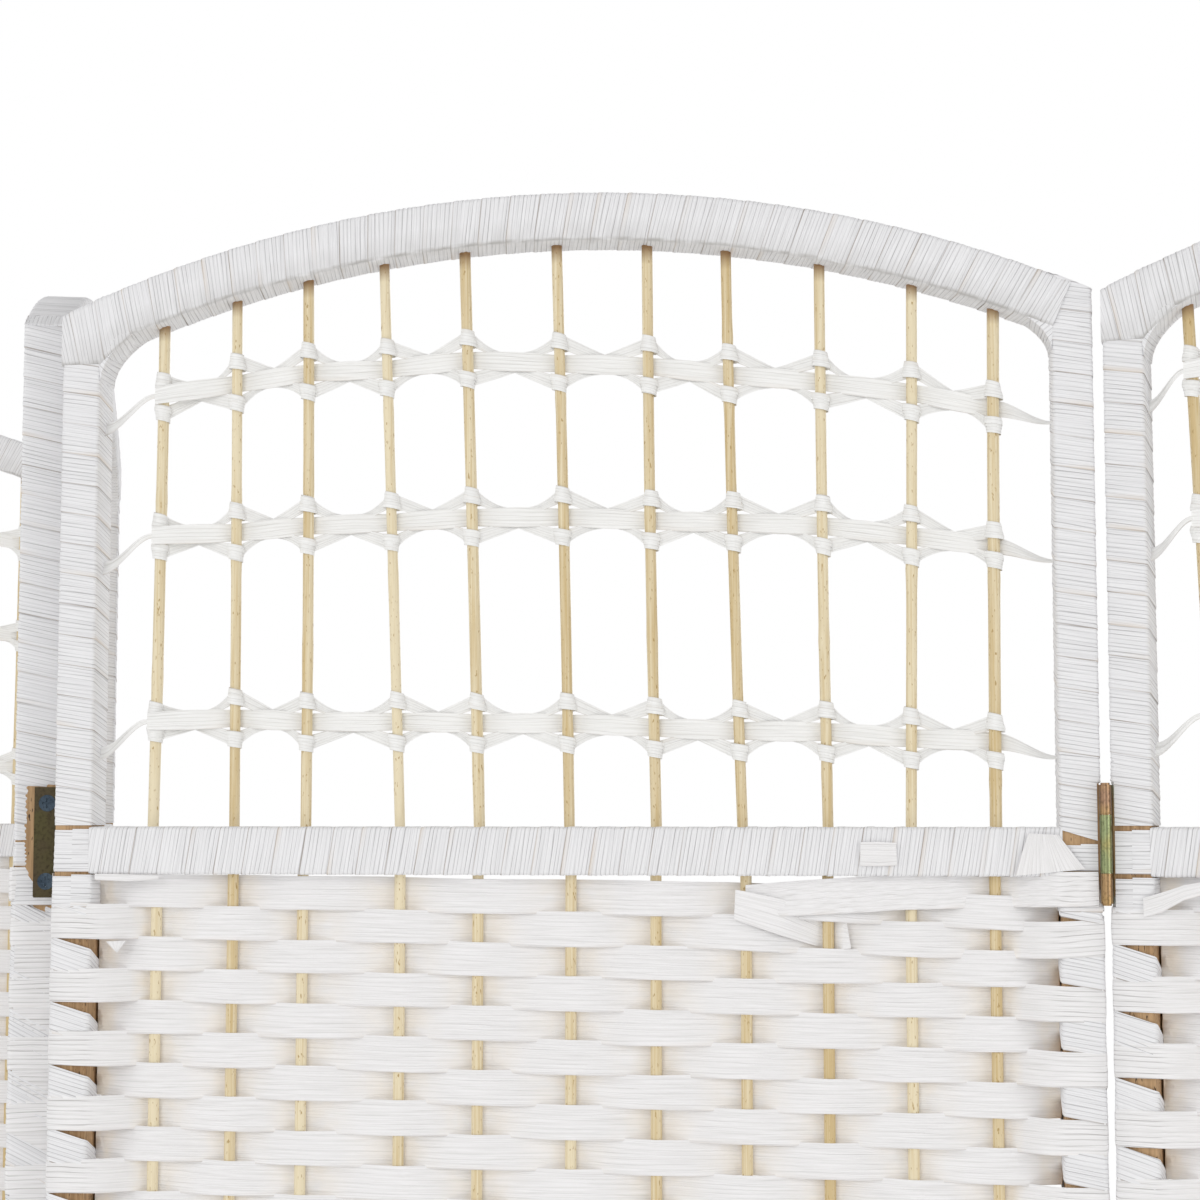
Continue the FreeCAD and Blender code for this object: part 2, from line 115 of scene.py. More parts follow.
# %% [markdown]
# ## Colours and shader nodes
# Colours are written as the eye reads them, in sRGB hex, and one function turns them to the linear
# values that shaders mix. One more function adds any node: its settings go in as keywords and its
# inputs as a dictionary. There a socket is linked, a node is linked by its first output, and anything
# else is written into the input.

# %% Helpers for materials
def linear(hex_colour):
    """An sRGB hex colour as linear red, green, blue and alpha."""
    parts = [int(hex_colour[i:i + 2], 16) / 255 for i in (1, 3, 5)]
    return [p / 12.92 if p <= 0.04045 else ((p + 0.055) / 1.055) ** 2.4 for p in parts] + [1.0]


def node(tree, kind, inputs, **settings):
    """Adds a shader node with its settings, and links or fills its inputs."""
    made = tree.nodes.new("ShaderNode" + kind)
    for name, value in settings.items():
        setattr(made, name, value)
    for name, value in inputs.items():
        if isinstance(value, bpy.types.Node):
            value = value.outputs[0]
        if isinstance(value, bpy.types.NodeSocket):
            tree.links.new(value, made.inputs[name])
        else:
            made.inputs[name].default_value = value
    return made


def blank_material(name):
    """A material without nodes, and its empty node tree."""
    made = bpy.data.materials.new(name)
    made.use_nodes = True
    made.node_tree.nodes.clear()
    return made, made.node_tree


# Numbers of a colour mix's inputs and output, which share their names with those for plain numbers.
MIX, COLOUR_A, COLOUR_B, COLOUR_OUT = 0, 6, 7, 2

# %% [markdown]
# ## White paper ribbon
# The ribbon is creped paper: a soft, matt white with fine fibres and thin creases that all run along it.
# The pattern therefore has to follow each strip round corners and knots, so it reads a UV map that holds
# millimetres along and across the ribbon. Fibres are a stretched noise. The shade in the creases is painted
# as dark lines at an even pitch across the ribbon, which slow noise bends a little and lets fade, and the
# thin shadow at one edge of the ribbon is painted as one brown line, with a pale brown stain beside it in
# places. Two attributes on the mesh steer the rest: gathered paper gets stronger painted crease shade, and
# the other lays on a second tone: a darker grey on the arch's lower front edge, and on the woven rows a warm
# tone that is painted light.

# %% Paper ribbon
# Length and width in millimetres of the marks that each pattern is made of, and the noise's detail.
fibre_marks = (24.0, 0.5, 3.0)
bend_marks = (45.0, 7.0, 2.0)
stain_marks = (38.0, 9.0, 1.0)
fade_length = 26.0
tint_patches_per_mm = 0.09
bend_reach = 3.5
crease_half_width = 0.24
edge_shadow_width = 0.6
edge_shadow_brown = "#94816f"
stain_width = 2.6
stain_share = 0.6
stain_brown = "#dccbb6"


def paper_ribbon(name, white, shade, crease_shade, crease_shade_strength, pitch, edge_shadow, tint_and_painted_light):
    """Matt creped paper: fibres, painted crease shade and a painted edge shadow along the ribbon, and a
    second tone where an attribute asks for it.
    """
    made, tree = blank_material(name)
    along = node(tree, "UVMap", {}, uv_map="ribbon").outputs["UV"]
    across = node(tree, "SeparateXYZ", {"Vector": along}).outputs["Y"]
    gathered = node(tree, "Attribute", {}, attribute_name="gathered").outputs["Fac"]
    tint_and_painted_light_mask = node(tree, "Attribute", {}, attribute_name="tint_and_painted_light").outputs["Fac"]
    noises = []
    for long, wide, detail in (fibre_marks, bend_marks, (fade_length, pitch, 1.0), stain_marks):
        size = node(tree, "Mapping", {"Vector": along, "Scale": (1 / long, 1 / wide, 1)})
        noises.append(node(tree, "TexNoise", {"Vector": size, "Scale": 1.0, "Detail": detail}))
    fibres, bends, fades, stains = noises
    tone = node(tree, "MapRange", {"Value": fibres, "From Min": 0.35, "From Max": 0.6})
    bent = node(tree, "Math", {0: bends, 1: bend_reach, 2: across}, operation="MULTIPLY_ADD")
    from_line = node(tree, "Math", {0: bent, 1: pitch / 2}, operation="PINGPONG")
    # Painted shade: dark lines in the creases, which slow bends move and noise fades.
    lines = node(tree, "MapRange", {"Value": from_line, "From Max": crease_half_width, "To Min": 1.0,
                                    "To Max": 0.0})
    strong = node(tree, "MapRange", {"Value": fades, "From Min": 0.36, "From Max": 0.64, "To Min": 0.3})
    more = node(tree, "Math", {0: gathered, 1: 0.5, 2: crease_shade_strength}, operation="MULTIPLY_ADD")
    # Painted shade: a brown line along one edge of the ribbon stands in for the thin shadow at that edge.
    edge = node(tree, "MapRange", {"Value": across, "From Max": edge_shadow_width, "To Min": edge_shadow, "To Max": 0.0})
    beside = node(tree, "MapRange", {"Value": across, "From Max": stain_width, "To Min": stain_share * edge_shadow,
                                      "To Max": 0.0})
    soaked = node(tree, "MapRange", {"Value": stains, "From Min": 0.52, "From Max": 0.66})
    # Patches of the second tone: a darker grey tint on wound paper, painted light on the woven rows.
    tint_patch_noise = node(tree, "TexNoise", {"Vector": along, "Scale": tint_patches_per_mm, "Detail": 2.0})
    tint_patches = node(tree, "MapRange", {"Value": tint_patch_noise, "From Min": 0.25, "From Max": 0.6})
    faded = node(tree, "Math", {0: lines, 1: strong}, operation="MULTIPLY")
    drawn, edge_shadowed, stained, toned = [
        node(tree, "Math", {0: marks, 1: share}, operation="MULTIPLY")
        for marks, share in ((faded, more), (edge, strong), (beside, soaked), (tint_and_painted_light_mask, tint_patches))]
    colour = linear(shade)
    layers = ((tone, white), (drawn, crease_shade), (edge_shadowed, edge_shadow_brown), (stained, stain_brown), (toned, tint_and_painted_light))
    for strength, tint in layers:
        mix = node(tree, "Mix", {MIX: strength, COLOUR_A: colour, COLOUR_B: linear(tint)}, data_type="RGBA")
        colour = mix.outputs[COLOUR_OUT]
    height = node(tree, "Math", {0: fibres, 1: drawn}, operation="SUBTRACT")
    relief = node(tree, "Bump", {"Height": height, "Strength": 0.6, "Distance": 0.4 * MM})
    shader = node(tree, "BsdfPrincipled", {
        "Base Color": colour, "Roughness": 0.82, "Specular IOR Level": 0.25, "Normal": relief})
    node(tree, "OutputMaterial", {"Surface": shader})
    return made


# Wound tight, the paper shows dark painted crease shade, brown painted edge shadows and a darker grey tint;
# woven flat, only faint ones, and a warm tone that is painted light shining through the paper; tied in the
# lace, it is nearly plain white.
wound_paper = paper_ribbon("wound_paper_ribbon", "#f2f2f4", "#e4e4e6", "#888687",
                           crease_shade_strength=0.66, pitch=1.85, edge_shadow=0.8, tint_and_painted_light="#bab8b6")
woven_paper = paper_ribbon("woven_paper_ribbon", "#f4f3f4", "#e8e7e7", "#9a9694",
                           crease_shade_strength=0.27, pitch=2.1, edge_shadow=0.2, tint_and_painted_light="#f1e2ca")
laced_paper = paper_ribbon("laced_paper_ribbon", "#f9f9f8", "#eeeeec", "#968d82",
                           crease_shade_strength=0.3, pitch=1.7, edge_shadow=0.3, tint_and_painted_light="#a89b8a")
print("paper:", wound_paper.name, woven_paper.name, laced_paper.name)

# %% [markdown]
# ## Bamboo, pine and zinc
# The rods are split bamboo: straw yellow, a little glossy, with darker streaks along them and a few
# brown specks. The wood under the ribbon is rough pine that shows only in slivers. The hinges are steel
# with a yellow zinc coat, whose colour drifts from gold to green and copper as oil on water does, and
# the screws have a blue one. All of these read Object coordinates, because their pieces never bend.

# %% Bamboo and pine
# Width and length in millimetres of the patches that differ from stick to stick, and the noise's detail.
stick_marks = (25.0, 1000 / 3, 0.0)
speck_squash = 0.3
socket_brown = "#8d6c45"


def streaked_wood(name, pale, dark, speck, streak_wide, streak_long, speck_size, roughness):
    """Wood with streaks along Z, a slow change of tone from stick to stick, and dark specks."""
    made, tree = blank_material(name)
    spot = node(tree, "TexCoord", {}).outputs["Object"]
    tint_and_painted_light_mask = node(tree, "Attribute", {}, attribute_name="tint_and_painted_light").outputs["Fac"]
    streak_marks = (streak_wide, streak_long, 4.0)
    speck_marks = (speck_size, speck_size / speck_squash, 1.0)
    noises = []
    for wide, long, detail in (streak_marks, stick_marks, speck_marks):
        size = node(tree, "Mapping", {
            "Vector": spot, "Scale": (1 / (wide * MM), 1 / (wide * MM), 1 / (long * MM))})
        noises.append(node(tree, "TexNoise", {"Vector": size, "Scale": 1.0, "Detail": detail}))
    streaks, sticks, specks = noises
    both = node(tree, "Math", {0: streaks, 1: sticks}, operation="ADD")
    tone = node(tree, "MapRange", {"Value": both, "From Min": 0.75, "From Max": 1.15})
    speckled = node(tree, "MapRange", {"Value": specks, "From Min": 0.66, "From Max": 0.74})
    colour = linear(dark)
    for strength, tint in ((tone, pale), (speckled, speck), (tint_and_painted_light_mask, socket_brown)):
        mix = node(tree, "Mix", {MIX: strength, COLOUR_A: colour, COLOUR_B: linear(tint)}, data_type="RGBA")
        colour = mix.outputs[COLOUR_OUT]
    relief = node(tree, "Bump", {"Height": streaks, "Strength": 0.4, "Distance": 0.4 * MM})
    shader = node(tree, "BsdfPrincipled", {"Base Color": colour, "Roughness": roughness, "Normal": relief})
    node(tree, "OutputMaterial", {"Surface": shader})
    return made


# The cane's skin gives bamboo long streaks and a slight gloss; sawing leaves pine short-streaked and dull.
bamboo = streaked_wood("split_bamboo", "#e9dcbc", "#cdb584", "#b1945f",
                       streak_wide=0.9, streak_long=45.0, speck_size=0.8, roughness=0.5)
pine = streaked_wood("rough_sawn_pine", "#c2a079", "#957552", "#3d2f25",
                     streak_wide=1.1, streak_long=18.0, speck_size=0.9, roughness=0.85)

# %% Zinc coats
film_drift = 14.0
dull_patch = 1.3


def zinc_coat(name, main, drift, dark, roughness):
    """Plated steel whose thin coat drifts between colours, with small dull patches."""
    made, tree = blank_material(name)
    spot = node(tree, "TexCoord", {}).outputs["Object"]
    slow = node(tree, "TexNoise", {"Vector": spot, "Scale": 1 / (film_drift * MM), "Detail": 2.0})
    fine = node(tree, "TexNoise", {"Vector": spot, "Scale": 1 / (dull_patch * MM), "Detail": 3.0})
    film = node(tree, "MapRange", {"Value": slow, "From Min": 0.38, "From Max": 0.62})
    dull = node(tree, "MapRange", {"Value": fine, "From Min": 0.5, "From Max": 0.75, "To Max": 0.6})
    colour = linear(main)
    for strength, tint in ((film, drift), (dull, dark)):
        mix = node(tree, "Mix", {MIX: strength, COLOUR_A: colour, COLOUR_B: linear(tint)}, data_type="RGBA")
        colour = mix.outputs[COLOUR_OUT]
    rough = node(tree, "MapRange", {"Value": fine, "To Min": roughness - 0.08, "To Max": roughness + 0.12})
    shader = node(tree, "BsdfPrincipled", {"Base Color": colour, "Metallic": 1.0, "Roughness": rough})
    node(tree, "OutputMaterial", {"Surface": shader})
    return made


# The thin coat tints the steel's gloss: green and copper at the right joint, dull olive bronze at the
# others, which is also darkened as painted shade, and dark blue on the screws.
green_zinc = zinc_coat("greenish_yellow_zinc", "#7f8763", "#8c8457", "#34331f", 0.3)
copper_zinc = zinc_coat("coppery_yellow_zinc", "#977c56", "#8a6f5a", "#3b2c1c", 0.3)
bronze_zinc_with_painted_shade = zinc_coat("bronze_yellow_zinc_with_painted_shade", "#4b4234", "#4d4832", "#2a241d", 0.42)
blue_zinc = zinc_coat("blue_zinc", "#3a4550", "#4f5b66", "#171b20", 0.26)
print("wood:", bamboo.name, pine.name)
print("zinc:", green_zinc.name, copper_zinc.name, bronze_zinc_with_painted_shade.name, blue_zinc.name)

# %% [markdown]
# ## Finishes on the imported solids
# The wood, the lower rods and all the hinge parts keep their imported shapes, which are right as they are.
# Only their material slots change.

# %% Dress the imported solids
def dress(name, finish):
    for place in frame["nodes"][name].material_slots:
        place.material = finish


for name in frame["nodes"]:
    if "_screws_" in name:
        dress(name, blue_zinc)
    elif name.startswith("hinge_34_leaves"):
        dress(name, green_zinc if name.endswith("4") else copper_zinc)
    elif name.startswith("hinge_"):
        dress(name, bronze_zinc_with_painted_shade if "_leaves_" in name else copper_zinc)
    elif name.endswith("lower_rods"):
        dress(name, bamboo)
    else:
        dress(name, pine)
print("dressed", len(frame["nodes"]), "packed solids")

# %% [markdown]
# ## Rolling a ribbon
# A strip with a thickness could be drawn flat and given a Solidify modifier, but that doubles every
# pleat on the side that nobody sees. Here a grid is rolled up instead: its columns become steps along
# the ribbon and its rows go once round the ribbon's thin section. The seam is welded and the two ends
# are filled, so each ribbon is a closed shell. The place function decides where each corner goes.

# %% One closed ribbon
paper_roll = 900
weld = 1e-4
noise_span = 99
# Each kind of piece draws its chances from a start of its own, to which the panel's number is added.
seeds = {"bindings": 10, "rows": 20, "rods": 30, "lace": 40}


def blank_ribbons():
    """An empty mesh with the ribbon's UV map and its two attributes."""
    ribbons = bmesh.new()
    ribbons.loops.layers.uv.new("ribbon")
    ribbons.verts.layers.float.new("gathered")
    ribbons.verts.layers.float.new("tint_and_painted_light")
    return ribbons


def roll_ribbon(ribbons, steps, ring, place, along, across, gathered=None, tint_and_painted_light=None, folded=False):
    """Rolls a grid into one closed ribbon: place(step, share, face) puts each corner, in millimetres.

    The ring lists the corners of the ribbon's section: the share of the width, and the face, 1 or -1.
    """
    sides = len(ring)
    made = bmesh.ops.create_grid(ribbons, x_segments=steps, y_segments=sides, size=0.5)["verts"]
    fibres = ribbons.loops.layers.uv["ribbon"]
    floats = ribbons.verts.layers.float
    marks = ((floats["gathered"], gathered), (floats["tint_and_painted_light"], tint_and_painted_light))
    start = hand.uniform(0, paper_roll)
    seam = []
    corner_of = {}
    for vert in made:
        step = round((vert.co.x + 0.5) * steps)
        side = round((vert.co.y + 0.5) * sides)
        share, face = ring[side % sides]
        vert.co = place(step, share, face)
        for mark, strength in marks:
            vert[mark] = strength(step) if strength else 0.0
        for loop in vert.link_loops:
            loop[fibres].uv = (start + along * step / steps, across * share)
        corner_of[vert] = side % sides
        if side % sides == 0:
            seam.append(vert)
    if folded:
        for edge in {edge for vert in made for edge in vert.link_edges}:
            corner, other = (corner_of[vert] for vert in edge.verts)
            edge.smooth = corner != other or corner % 2 == 1
    bmesh.ops.remove_doubles(ribbons, verts=seam, dist=weld)
    left = [vert for vert in made if vert.is_valid]
    rims = {edge for vert in left for edge in vert.link_edges if edge.is_boundary}
    bmesh.ops.holes_fill(ribbons, edges=list(rims), sides=sides)
    return left


def trim(ribbons, verts, point, way):
    """Cuts a ribbon off beyond a point, square to the given way, and closes the cut."""
    verts = [vert for vert in verts if vert.is_valid]
    edges = list({edge for vert in verts for edge in vert.link_edges})
    faces = list({face for vert in verts for face in vert.link_faces})
    cut = bmesh.ops.bisect_plane(ribbons, geom=verts + edges + faces, plane_co=point, plane_no=way,
                                 clear_outer=True)["geom_cut"]
    rims = [part for part in cut if isinstance(part, bmesh.types.BMEdge)]
    rim_verts = [part for part in cut if isinstance(part, bmesh.types.BMVert)]
    bmesh.ops.holes_fill(ribbons, edges=rims, sides=0)
    return [vert for vert in verts if vert.is_valid] + rim_verts


def pleated_section(pleats):
    """A ribbon's section with its pleats on the outside and one flat side against the wood."""
    corners = 2 * pleats
    return [(k / corners, 1) for k in range(corners + 1)]


def thin_section(parts):
    """A ribbon's section with two alike sides that meet in its edges."""
    return [(k / parts, 1) for k in range(parts + 1)] + [(k / parts, -1) for k in range(parts - 1, 0, -1)]


def bulge(share):
    """0 at both edges of a ribbon and 1 midway."""
    return 4 * share * (1 - share)


sharp_fold = 62.0


def finish_piece(shape, panel, name, finish, solid):
    """Carries a mesh to its panel, and makes it a piece that rides on the panel in place of a solid."""
    bmesh.ops.recalc_face_normals(shape, faces=shape.faces)
    for face in shape.faces:
        face.smooth = True
    for edge in shape.edges:
        edge.smooth = edge.smooth and edge.calc_face_angle(0.0) < math.radians(sharp_fold)
    shape.transform(stands[panel])
    mesh = bpy.data.meshes.new(f"panel_{panel}_{name}")
    shape.to_mesh(mesh)
    shape.free()
    mesh.materials.append(finish)
    piece = bpy.data.objects.new(mesh.name, mesh)
    bpy.context.scene.collection.objects.link(piece)
    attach(piece, f"panel_{panel}")
    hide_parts(f"panel_{panel}_{solid}")
    print(piece.name, len(mesh.polygons), "faces")


# %% [markdown]
# ## Winding a bar
# Stiles and rails are square bars with the ribbon wound round them. One long ribbon per stretch of bar is
# the honest way to build that: sixteen stations go round the bar's rounded section, and each full turn
# moves one pitch along the bar. The pleats stand up by a fraction of a millimetre, each turn's edge lies on
# the turn before, and slow noise lets the edges wander, so that a sliver of wood shows now and then.

# %% Wind a ribbon round a bar
def bar_stations(wide, deep, corner, flat_share):
    """Places round a bar from the middle of its front: share of a turn, point and outward direction.

    A flat_share below 1 lets the ribbon climb less on the front and back than on the sides.
    """
    spots = []
    for side_x, side_y, start in ((1, -1, -90), (1, 1, 0), (-1, 1, 90), (-1, -1, 180)):
        out = Vector((math.cos(math.radians(start)), math.sin(math.radians(start))))
        spots.append((Vector((out.x * wide / 2, out.y * deep / 2)), out))
        middle = Vector((side_x * (wide / 2 - corner), side_y * (deep / 2 - corner)))
        for turn in (0, 45, 90):
            angle = math.radians(start + turn)
            out = Vector((math.cos(angle), math.sin(angle)))
            spots.append((middle + out * corner, out))
    ways = [0.0]
    for (here, _), (there, _) in zip(spots, spots[1:] + spots[:1]):
        flat = abs(there.x - here.x) > abs(there.y - here.y)
        ways.append(ways[-1] + (there - here).length * (flat_share if flat else 1.0))
    return [(way / ways[-1], spot, out) for way, (spot, out) in zip(ways, spots)]


pleats_per_ribbon = 6
pleat_height = 0.27
valley_depth = 0.2
ribbon_seat = -0.3
edge_overlap = 0.3
edge_wander = 0.5
wander_pace = 0.06
ripple_pace = 0.07


def wind(ribbons, bar, start, turns, pitch, width, spot, press=None, seat=ribbon_seat, tint_and_painted_light=None):
    """Winds one ribbon round a bar: spot(along, flat) carries bar measures into the panel."""
    steps = round(turns * len(bar))
    seed = hand.uniform(0, noise_span)

    def place(step, share, face):
        turn, number = divmod(step, len(bar))
        way, flat, out = bar[number]
        fold = round(share * 2 * pleats_per_ribbon)
        wander = edge_wander * noise.noise(Vector((step * wander_pace, share * 1.5, seed)))
        along = start + (turn + way) * pitch + (share - 0.5) * width + wander
        ripple = noise.noise(Vector((fold * 3.7, step * ripple_pace, seed)))
        ridge = pleat_height * (0.6 + 0.5 * ripple) if fold % 2 else -valley_depth * max(0.0, ripple)
        lift = seat + edge_overlap * (1 - share) + ridge
        if press:
            lift = press(along, flat, out, lift)
        return spot(along, flat + out * lift)

    length = 4 * (bar[0][1].length + bar[4][1].length) * turns
    at_station = (lambda step: tint_and_painted_light(step % len(bar))) if tint_and_painted_light else None
    return roll_ribbon(ribbons, steps, pleated_section(pleats_per_ribbon), place, length, width,
                       tint_and_painted_light=at_station, folded=True)


# %% [markdown]
# ## Sizes of the panel
# These repeat the drawing's sizes in millimetres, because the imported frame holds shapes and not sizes.

# %% Panel sizes
panel_height = 1700.0
stile_width = 17.2
half_width = panel_width / 2
inner_half = half_width - stile_width
middle_y = panel_depth / 2
arch_rise = 48.5
arch_bar_height = 20.5
arch_radius = (half_width ** 2 + arch_rise ** 2) / (2 * arch_rise)
arch_centre = panel_height - arch_radius
arch_middle_radius = arch_radius - arch_bar_height / 2
arch_inner_radius = arch_radius - arch_bar_height
rail_height = 20.6
mid_rail_top = 1425.0
mid_rail_bottom = mid_rail_top - rail_height
bottom_rail_top = 111.0
bare_foot = 12.0
bar_corner = 1.6

rod_count = 11
rod_radius = 2.4
rod_spacing = 36.3
rod_gauge_height = 215.0
lower_rod_drift = (0.4, -1.8, -7.0, -0.4, -2.5, 1.6, 1.9, 4.1, 2.5, 1.1, -0.1)
upper_foot_drift = (-1.8, -1.6, -6.0, -0.6, -2.0, 0.9, 2.2, 2.8, 2.8, 1.5, 0.7)
upper_head_drift = (-0.1, -3.2, -7.2, -8.3, -8.5, -4.2, -0.9, -2.5, 1.1, 4.0, 2.4)
leaning_first_rod = {4: -9.0}

row_count = 95
row_pitch = (mid_rail_bottom - bottom_rail_top) / row_count
row_drop = 5.0
print("arch radius", round(arch_radius, 1), "mm,", row_count, "rows, one every", round(row_pitch, 2), "mm")


def even_rod_x(index):
    return (index - (rod_count - 1) / 2) * rod_spacing


def lower_rod_x(index):
    return even_rod_x(index) + lower_rod_drift[index]


def upper_rod_x(panel, index, z):
    """Place of an upper rod at a height: the rods lean a little, each its own way."""
    lean = leaning_first_rod.get(panel, 0.0) if index == 0 else 0.0
    foot, head = upper_foot_drift[index], upper_head_drift[index] + lean
    return even_rod_x(index) + foot + (head - foot) * (z - mid_rail_top) / rod_gauge_height


def arch_line(x, radius):
    return arch_centre + math.sqrt(radius ** 2 - x ** 2)


def dropped(x, z):
    """How far the hand-woven rows have sunk to the right, which grows from the foot to the mid rail."""
    across = (max(-half_width, min(half_width, x)) + half_width) / panel_width
    up = (z - bottom_rail_top) / (mid_rail_bottom - bottom_rail_top)
    return -row_drop * across * max(0.0, min(1.0, up))


# %% [markdown]
# ## Room for the hinges
# A hinge leaf is screwed to the bare edge of a stile, so the ribbon has to dive under it. Where a spot on
# the outer side of a stile lies behind a leaf, the ribbon is pressed into the wood, out of sight.

# %% Press the ribbon under hinge leaves
hinge_heights = (1418.0, 850.0, 280.0)
hinge_half_length = 25.0
leaf_reach = 15.5
pressed_in = -1.8
# For each panel, the sides that have hinges, -1 left and 1 right, and whether their barrels are at the back.
hinged_edges = {1: ((1, False),), 2: ((-1, False), (1, True)),
                3: ((-1, True), (1, False)), 4: ((-1, False),)}


def under_leaf(panel, side, y, z):
    """Whether a spot on a stile's outer side lies behind a hinge leaf."""
    for edge, at_back in hinged_edges[panel]:
        level = any(abs(z - height) < hinge_half_length for height in hinge_heights)
        from_barrel = panel_depth - y if at_back else y
        if edge == side and level and from_barrel < leaf_reach:
            return True
    return False


# %% [markdown]
# ## Bound stiles
# Beside the open lattice the ribbon is wound turn on turn. Beside the weave it is different: every
# second row of the weave itself passes over the stile, and one slanted turn of ribbon fills the space to
# the next, which leaves a thin wedge of bare wood. A wind with a pitch of two rows draws those turns.

# %% Stile bindings
# Where a value differs between the two stiles, it is kept by side: -1 is the left one, 1 the right one.
UP, DOWN = Vector((0, 0, 1)), Vector((0, 0, -1))
stile_middle = half_width - stile_width / 2
stile_bar = bar_stations(stile_width, panel_depth, bar_corner, 0.75)
slanted_bar = {-1: bar_stations(stile_width, panel_depth, bar_corner, 0.66),
               1: bar_stations(stile_width, panel_depth, bar_corner, 0.32)}
close_pitch = 13.4
close_width = 15.0
first_turn_up = 7.4
spare_turns = 1.6
level_turns = 1.1
level_climb = -0.6
turn_seat = 0.3
slant_lead = 1.5
slant_spare = 1.5
slant_shift = {-1: -2.6, 1: 0.9}
slant_width = {-1: 13.8, 1: 14.8}
band_middle = {-1: 0.4, 1: -2.0}
band_width = {-1: 17.8, 1: 10.5}
lattice_end = {-1: 0.6, 1: -3.6}
lattice_cut = {-1: DOWN, 1: Vector((-0.3, 0, -1)).normalized()}
lattice_spare = 3.0
head_gap = {-1: 0.2, 1: 0.8}
row_gap = 0.4
weave_tuck = 1.0
foot_gap = 1.5
cap_steps = 6
cap_bulge = 0.35
cap_tuck = 1.0
cap_reach = 0.2


def stile_spot(side, falling):
    """Carries bar measures to a stile, sunk with the weave where it is falling."""
    def spot(along, flat):
        x = side * stile_middle + flat.x
        return Vector((x, middle_y + flat.y, along + (dropped(x, along) if falling else 0.0)))

    return spot


def head_cap(ribbons):
    """The ribbon's end that is laid over the right stile's sloping head."""
    inner, outer = inner_half - cap_tuck, half_width + cap_reach

    def place(step, share, face):
        x = inner + (outer - inner) * step / cap_steps
        proud = cap_bulge + face * cap_bulge * bulge(share)
        return Vector((x, panel_depth * share, arch_line(x, arch_radius) + proud))

    roll_ribbon(ribbons, cap_steps, thin_section(6), place, half_width - inner, panel_depth)


def bind_stile(ribbons, panel, side):
    """All the binding of one stile, from its head to its bare foot."""
    def press(along, flat, out, lift):
        leaf = out.x * side > 0.5 and under_leaf(panel, side, middle_y + flat.y, along)
        return pressed_in if leaf else lift

    def close_wind(top, low):
        return wind(ribbons, stile_bar, top + first_turn_up, (top - low) / close_pitch + spare_turns,
                    -close_pitch, close_width, stile_spot(side, False), press)

    def level_band(middle, width, seat):
        wind(ribbons, stile_bar, middle, level_turns, level_climb, width,
             stile_spot(side, False), press, seat)

    if side < 0:
        top = arch_line(half_width, arch_inner_radius) + head_gap[side]
        head_way = UP
    else:
        top = arch_line(stile_middle, arch_radius) + head_gap[side]
        head_way = Vector((stile_middle, 0, top - arch_centre)).normalized()
    low = mid_rail_top + lattice_end[side]
    head = close_wind(top, low + lattice_spare)
    head = trim(ribbons, head, (side * stile_middle, 0, top), head_way)
    if side > 0:
        head_cap(ribbons)
    trim(ribbons, head, (side * stile_middle, 0, low), lattice_cut[side])
    level_band(mid_rail_top - rail_height / 2 + band_middle[side], band_width[side], ribbon_seat)
    level_band(mid_rail_bottom - row_pitch / 2 - row_gap, row_pitch, turn_seat)

    start = mid_rail_bottom + slant_lead * row_pitch + slant_shift[side]
    turns = wind(ribbons, slanted_bar[side], start, row_count / 2 + slant_spare, -2 * row_pitch,
                 slant_width[side], stile_spot(side, True), press, turn_seat)
    turns = trim(ribbons, turns, (0, 0, mid_rail_bottom - row_pitch), UP)
    trim(ribbons, turns, (0, 0, bottom_rail_top - weave_tuck), DOWN)
    level_band(bottom_rail_top - rail_height / 2, band_width[-1], ribbon_seat)

    foot_top = bottom_rail_top - rail_height - foot_gap
    foot = close_wind(foot_top, bare_foot)
    foot = trim(ribbons, foot, (0, 0, foot_top), UP)
    trim(ribbons, foot, (0, 0, bare_foot), DOWN)


# %% [markdown]
# ## Bound rails and arch
# The rails are wound the same way, along X. For the arch the same bar is bent: the way along it becomes
# an angle about the arch's centre. On the left the arch's ribbon runs on over the head of the stile and
# its end is laid over the arch's own end. On the right it stops at the stile, whose ribbon goes up to the
# head. The arch's lower front edge is tinted a darker grey, as in the photograph.

# %% Rail and arch bindings
rail_bar = bar_stations(rail_height, panel_depth, bar_corner, 1.0)
arch_bar = bar_stations(arch_bar_height, panel_depth, bar_corner, 1.0)
rail_pitch = 12.6
rail_ribbon = 14.0
rail_tuck = 1.2
rail_spare = 2
arch_spare = 2.2
stile_reach = 7.0
arch_seat = 0.2
arch_proud = 0.3
arch_overlap = 5.0
end_bulge = 0.3
end_proud = 0.25
end_gap = 0.2
bare_edge = 1.6
widest_arch = half_width + 30
# The arch bar's stations at its lower front corner, and how strongly each is tinted a darker grey.
darker_edge_stations = {13: 0.2, 14: 1.0, 15: 0.35}


def rail_spot(top):
    def spot(along, flat):
        return Vector((along, middle_y + flat.y, top - rail_height / 2 + flat.x))
    return spot


def arch_spot(along, flat):
    """Bends the bar to the arch; over the left stile its lower side reaches down to the stile's binding."""
    angle = along / arch_middle_radius
    radius = arch_middle_radius + flat.x
    x = radius * math.sin(angle)
    z = arch_centre + radius * math.cos(angle)
    over_stile = -inner_half + stile_reach - x
    if over_stile > 0:
        level = arch_line(half_width, arch_inner_radius)
        under = arch_line(min(-x, widest_arch), arch_inner_radius)
        z += (level - under) * (0.5 - flat.x / arch_bar_height) * min(1.0, over_stile / stile_reach)
    return Vector((x, middle_y + flat.y, z))


def lower_front_edge(station):
    return darker_edge_stations.get(station, 0.0)


